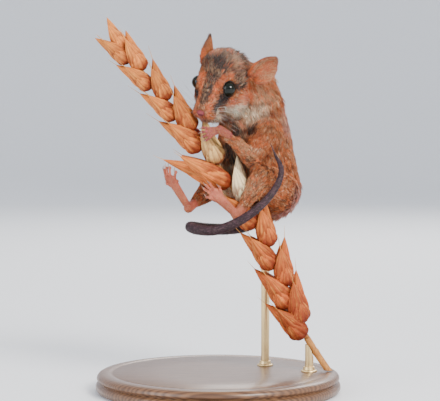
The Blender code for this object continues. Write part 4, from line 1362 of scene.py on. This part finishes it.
def makeTail():
    rows = evenPath(smoothPath(tailSettings["line"], 40), tailSettings["ring"] / tailSettings["pointsPerRing"])
    order = np.arange(len(rows))
    saw = order / tailSettings["pointsPerRing"] % 1
    pointed, thinnest = tailSettings["point"]  # drawn out to a point
    rows[:, 3] *= 1 + tailSettings["swell"] * (saw - 0.5)
    rows[:, 3] *= thinnest + (1 - thinnest) * smoothStep(len(rows), len(rows) - pointed, order)
    tail = makeBar(rows, tailSettings["sides"])
    modify(tail, "TRIANGULATE")
    unwrap(tail)
    paint(tail.data, "ring", grey(saw[nearestRows(corners(tail) / mm, rows)]))
    addPiece(tail, "tail_skin", tailMaterial(), tuple(f"tail_{order}" for order in range(1, 6)))
    makeTailHair(tail, rows)


makePaws()
makeTail()
print("paws and tail are in")


# The ear of wheat.

wheatSettings = {
    "stalk": (
        (29.4, 4.4), (24.6, 11.6), (21.2, 17.6), (17.0, 27.6), (12.4, 38.4), (6.2, 50.0), (-1.6, 60.6),
        (-8.6, 69.2), (-15.4, 77.6), (-21.8, 85.4), (-26.0, 90.0),
    ),
    "stalkRadius": 1.0,
    "rachisRadius": 0.8,
    "starts": 0.14,
    "stemFloor": 5.3,
    "spikelets": 18,
    "length": 11.6,
    "width": 4.8,
    "depth": 3.3,
    "spread": 25.0,
    "fan": 24.0,
    "middle": (1.0, 0.9, 1.06, 1.0, 0.0),  # spread, start, length, and how far it faces front and aside
    "outer": (0.72, 0.0, 0.97, 0.45, 0.9),
    "tipScale": 0.72,
    "long": 8,
    "longBy": 1.45,
    "longSpread": 8.0,
    "sides": 48,
    "rings": 14,
    "ribs": 10,
    "out": 0.35,
    "frontStep": 0.5,
    "frontLean": 0.3,
    "glume": (0.64, 1.1, 1.16),
    "glumeStep": (0.3, -0.25),
    "glumeLean": 0.1,
    "glumeLight": 1.12,
    "sizes": (0.93, 1.07),
    "leans": (-3, 3),
    "lights": (0.78, 1.25),
    "fibres": (-9, 9),
    "awns": (0.5, 1.2),
    "lowColour": (0.44, 0.07, 0.018),
    "highColour": (0.66, 0.21, 0.042),
    "paleColours": {9: (0.8, 0.52, 0.2), 7: (0.84, 0.68, 0.42)},
    "awn": 3.2,
    "awnRadius": 0.13,
    "awnRoot": 1.6,
    "awnMargin": 0.2,
}
front = Vector((0, -1, 0))


def huskMesh():  # a unit husk: X along it, Y across, Z thick, ribbed, with a keel and a drawn-out tip
    counts = {"segments": wheatSettings["sides"], "ring_count": wheatSettings["rings"]}
    thing = added(bpy.ops.mesh.primitive_uv_sphere_add, radius=1.0, **counts)
    x, y, z = corners(thing).T
    share = np.clip(0.5 * (1 - z), 0, 1) ** 0.9
    angle = np.arctan2(y, x)
    side, rise = np.cos(angle), np.sin(angle)
    swell = np.sin(math.pi * share**0.62) ** 0.85 + 0.16 * (1 - share)
    wave = np.abs(np.cos(0.5 * wheatSettings["ribs"] * angle))
    rib = 1.0 + 0.15 * (wave**3 - 0.42) * np.sin(math.pi * share) ** 0.5
    keel = 1.0 + 0.16 * np.abs(rise) ** 10
    girth = np.where(np.hypot(x, y) > 1e-6, 0.5 * swell, 0.0) * rib
    moveCorners(thing, np.column_stack((share, girth * side, girth * keel * rise)))
    # The fourth value is the ribs' wave; the straw is painted darker where it is low, as painted shade in the
    # grooves.
    paint(thing.data, "fibresAndRibShade", np.column_stack((0.5 * share, 1.2 * side, 1.2 * rise, wave)))
    paint(thing.data, "tint", np.column_stack((np.zeros((len(share), 3)), share)))
    return rework(meshOnly(thing), lambda shape: bmesh.ops.recalc_face_normals(shape, faces=shape.faces))


def placeHusk(husk, place, sizes, tone, shift):  # one copy with its own colour and its own run of fibres
    copy = linked("husk", husk.copy())
    copy.data.transform(place @ sized((0, 0, 0), sizes))
    for name, change in (("tint", np.clip(tone, 0, 1)), ("fibresAndRibShade", shift)):
        layer = copy.data.attributes[name].data
        values = np.empty(len(layer) * 4, dtype=np.float32)
        layer.foreach_get("color", values)
        values.reshape(-1, 4)[:, :3] += change
        layer.foreach_set("color", values)
    return copy


def strawBar(bar, tone, along):  # straw's colours for a round bar
    x, y, z = corners(bar).T / mm
    paint(bar.data, "tint", np.tile((*tone, along), (len(x), 1)))
    paint(bar.data, "fibresAndRibShade", np.column_stack((0.08 * z, x, y, np.full(len(x), 0.7))))
    return bar


def makeAwn(tip, aim, way, length):
    def at(t):
        place = tip + aim * ((length + root) * t - root) + way * 0.5 * t * t
        return *place, wheatSettings["awnRadius"] * (1 - 0.85 * t)

    root = wheatSettings["awnRoot"]
    return strawBar(barAlong(at, 5, 1), (0.72, 0.34, 0.1), 0.9)


def isInside(spot, margin):  # within the solids' box, by a margin
    return all(low + margin < value < high - margin for low, value, high in zip(solidBox[0], spot, solidBox[1]))


def makeSpikelet(order, path, husk, draw, tones):  # three husks, each with a shorter outer husk, and their awns
    starts, last = wheatSettings["starts"], len(path) - 1
    share = starts + 0.02 + (0.95 - starts) * order / (wheatSettings["spikelets"] - 1)
    step = min(int(share * last), last - 1)
    here, ahead = path[step][0], path[step + 1][0]
    point, way = here.lerp(ahead, share * last - step), (ahead - here).normalized()
    out = way.cross(front) * (1 if order % 2 else -1)
    size = 1.0 - (1.0 - wheatSettings["tipScale"]) * max(0.0, (share - 0.45) / 0.55) ** 1.2
    size *= draw.uniform(*wheatSettings["sizes"])
    spread = wheatSettings["spread"] * (1.0 - 0.45 * max(0.0, share - 0.5))
    spread += draw.uniform(*wheatSettings["leans"])
    isLong = order == wheatSettings["long"]
    spread = math.radians(spread + (wheatSettings["longSpread"] if isLong else 0.0))
    tone = blend(np.array(wheatSettings["lowColour"]), np.array(wheatSettings["highColour"]), share)
    isPale = order in wheatSettings["paleColours"]
    tone = np.array(wheatSettings["paleColours"].get(order, tone))
    things = []
    for fan in (-1, 0, 1):
        wide, start, reach, facing, aside = wheatSettings["outer" if fan else "middle"]
        lean = math.radians(wheatSettings["fan"] * fan)
        sideWay = out * math.cos(lean) + front * math.sin(lean)
        aim = way * math.cos(spread * wide) + sideWay * math.sin(spread * wide)
        aim = (aim + front * wheatSettings["frontLean"] * fan).normalized()
        base = point + out * wheatSettings["out"] + way * start + front * wheatSettings["frontStep"] * fan
        across = front * facing - out * aside * fan
        length = wheatSettings["length"] * size * reach * (wheatSettings["longBy"] if isLong else 1.0)
        sizes = (length, wheatSettings["width"] * size, wheatSettings["depth"] * size)
        outward = (sideWay + front * 0.8 * fan).normalized()
        outward = (outward - aim * outward.dot(aim)).normalized()
        light = tones.uniform(*wheatSettings["lights"])
        shift = [tones.uniform(*wheatSettings["fibres"]) for _ in range(3)]
        things.append(placeHusk(husk, frameAt(base, aim, across), sizes, tone * light, shift))
        glume = [side * scale for side, scale in zip(sizes, wheatSettings["glume"])]
        outStep, alongStep = wheatSettings["glumeStep"]
        spot = base + outward * outStep + aim * alongStep
        place = frameAt(spot, aim + outward * wheatSettings["glumeLean"], across)
        things.append(placeHusk(husk, place, glume, tone * light * wheatSettings["glumeLight"], shift[::-1]))
        tip = base + aim * length
        length = wheatSettings["awn"] * tones.uniform(*wheatSettings["awns"])
        isHeld = isInside((tip + aim * length + way * 0.5) * mm, wheatSettings["awnMargin"] * mm)
        if isHeld and not isPale:  # the pale husks' awns would reach the face
            things.append(makeAwn(tip, aim, way, length))
    return things


def makeStem(path):
    rows = evenPath(path, 0.4)
    reach = np.linspace(0, 1, len(rows))
    knot = 0.12 * hill(reach - 0.62, 0.045) - 0.1 * hill(reach - 0.7, 0.03)
    rows[:, 3] = wheatSettings["stalkRadius"] * (0.88 + knot)
    stem = strawBar(makeBar(rows, 6), (0.58, 0.26, 0.075), 0.55)
    places = corners(stem)
    places[:, 2] = np.maximum(places[:, 2], wheatSettings["stemFloor"] * mm)
    moveCorners(stem, places)
    addPiece(stem, "wheat_stem", strawMaterial("stemStraw", 0.6), ("perch_stem",))


def makeWheat():
    draw, tones = random.Random(7), random.Random(21)
    path = smoothPath([((x, 0, z), 1.0) for x, z in wheatSettings["stalk"]], 8)
    husk = huskMesh()
    things = []
    for order in range(wheatSettings["spikelets"]):
        things += makeSpikelet(order, path, husk, draw, tones)
    foot = round((len(path) - 1) * wheatSettings["starts"])
    rows = evenPath(path[foot:], 1.0)
    rows[:, 3] = wheatSettings["rachisRadius"]
    wheat = joinAll([*things, strawBar(makeBar(rows, 3), (0.56, 0.25, 0.075), 0.5)])
    bpy.ops.object.shade_smooth()
    replaced = ("perch_ear_low", "perch_ear_middle", "perch_ear_top")
    addPiece(wheat, "wheat_ear", strawMaterial("huskStraw"), replaced)
    makeStem(path[: foot + 1])


makeWheat()
print("the wheat is in")


# The stand: a turned base, and brass rods with collars.

standSettings = {
    "profile": (
        (0.0, 0.0), (31.0, 0.0), (31.6, 0.35), (31.95, 0.9), (32.0, 1.3), (31.95, 1.9), (31.6, 2.35),
        (31.1, 2.55), (30.95, 2.75), (31.1, 2.95), (31.45, 3.15), (31.7, 3.5), (31.65, 4.0), (31.3, 4.5),
        (30.7, 4.85), (30.0, 4.98), (29.2, 5.0), (28.4, 5.0), (28.1, 4.85), (27.7, 4.8), (27.3, 4.85),
        (27.0, 5.0), (15.0, 5.0), (0.0, 5.0),
    ),
    "collar": (
        (1.12, 5.02), (2.1, 5.02), (2.15, 5.15), (2.05, 5.35), (1.6, 5.5), (1.5, 5.9), (1.42, 6.3), (1.12, 6.4),
    ),
    "rods": {"stand_rod_body": (12.6, 10.2), "stand_rod_stem": (23.8, 0.0)},
}


def turned(outline, steps, centre=(0.0, 0.0)):  # smooth, but for its sharp edges
    thing = lathe(outline, steps)
    bpy.ops.object.mode_set(mode="EDIT")
    bpy.ops.mesh.select_all(action="SELECT")
    bpy.ops.mesh.remove_doubles(threshold=1e-6)
    bpy.ops.mesh.normals_make_consistent(inside=False)
    bpy.ops.object.mode_set(mode="OBJECT")
    thing.data.transform(Matrix.Translation((centre[0] * mm, centre[1] * mm, 0)))
    bpy.ops.object.shade_smooth_by_angle(angle=math.radians(40))
    return thing


def makeStand():
    brass = brassMaterial()
    base = turned(standSettings["profile"], 128)
    addPiece(base, "stand_base_turned", woodMaterial(), ("stand_base",))
    collar = standSettings["collar"]
    for name, centre in standSettings["rods"].items():
        addPiece(turned([*collar, collar[0]], 40, centre), name + "_collar", brass)
        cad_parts[name].data.materials.clear()
        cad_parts[name].data.materials.append(brass)


makeStand()
print("the stand is finished")


# Whiskers.

whiskerSettings = {"rows": 4, "columns": 5, "length": (5.0, 12.0), "radius": 0.035}


def makeWhisker(side, row, share, draw):
    root = drooped((7.0 - 2.6 * share, side * (1.5 + 1.0 * share), -1.4 - 0.75 * row))
    way = Vector((0.25 - 0.9 * share, side * (1.0 + 0.2 * share), 0.35 - 0.35 * row))
    way = (way + Vector([draw.uniform(-0.12, 0.12) for _ in range(3)])).normalized()
    low, high = whiskerSettings["length"]
    length = low + (high - low) * share * draw.uniform(0.8, 1.0)

    def at(t):
        spot = root + way * length * t + Vector((-1.2, 0, -1.0 - 0.5 * row)) * t * t
        return *(head @ (spot * mm) / mm), whiskerSettings["radius"] * (1 - 0.85 * t)

    return barAlong(at, 8, 0)


def makeWhiskers():
    draw = random.Random(5)
    things = []
    for side in (1, -1):
        for row in range(whiskerSettings["rows"]):
            for column in range(whiskerSettings["columns"]):
                things.append(makeWhisker(side, row, column / (whiskerSettings["columns"] - 1), draw))
    stops = ((0.35, (0.06, 0.04, 0.035)), (0.65, (0.55, 0.47, 0.42)))
    material = mottledMaterial("whiskerHair", 0.5, 0.35, *stops, detail=2.0, Roughness=0.4)
    addPiece(joinAll(things), "whiskers", material)


makeWhiskers()
print("the whiskers are in")
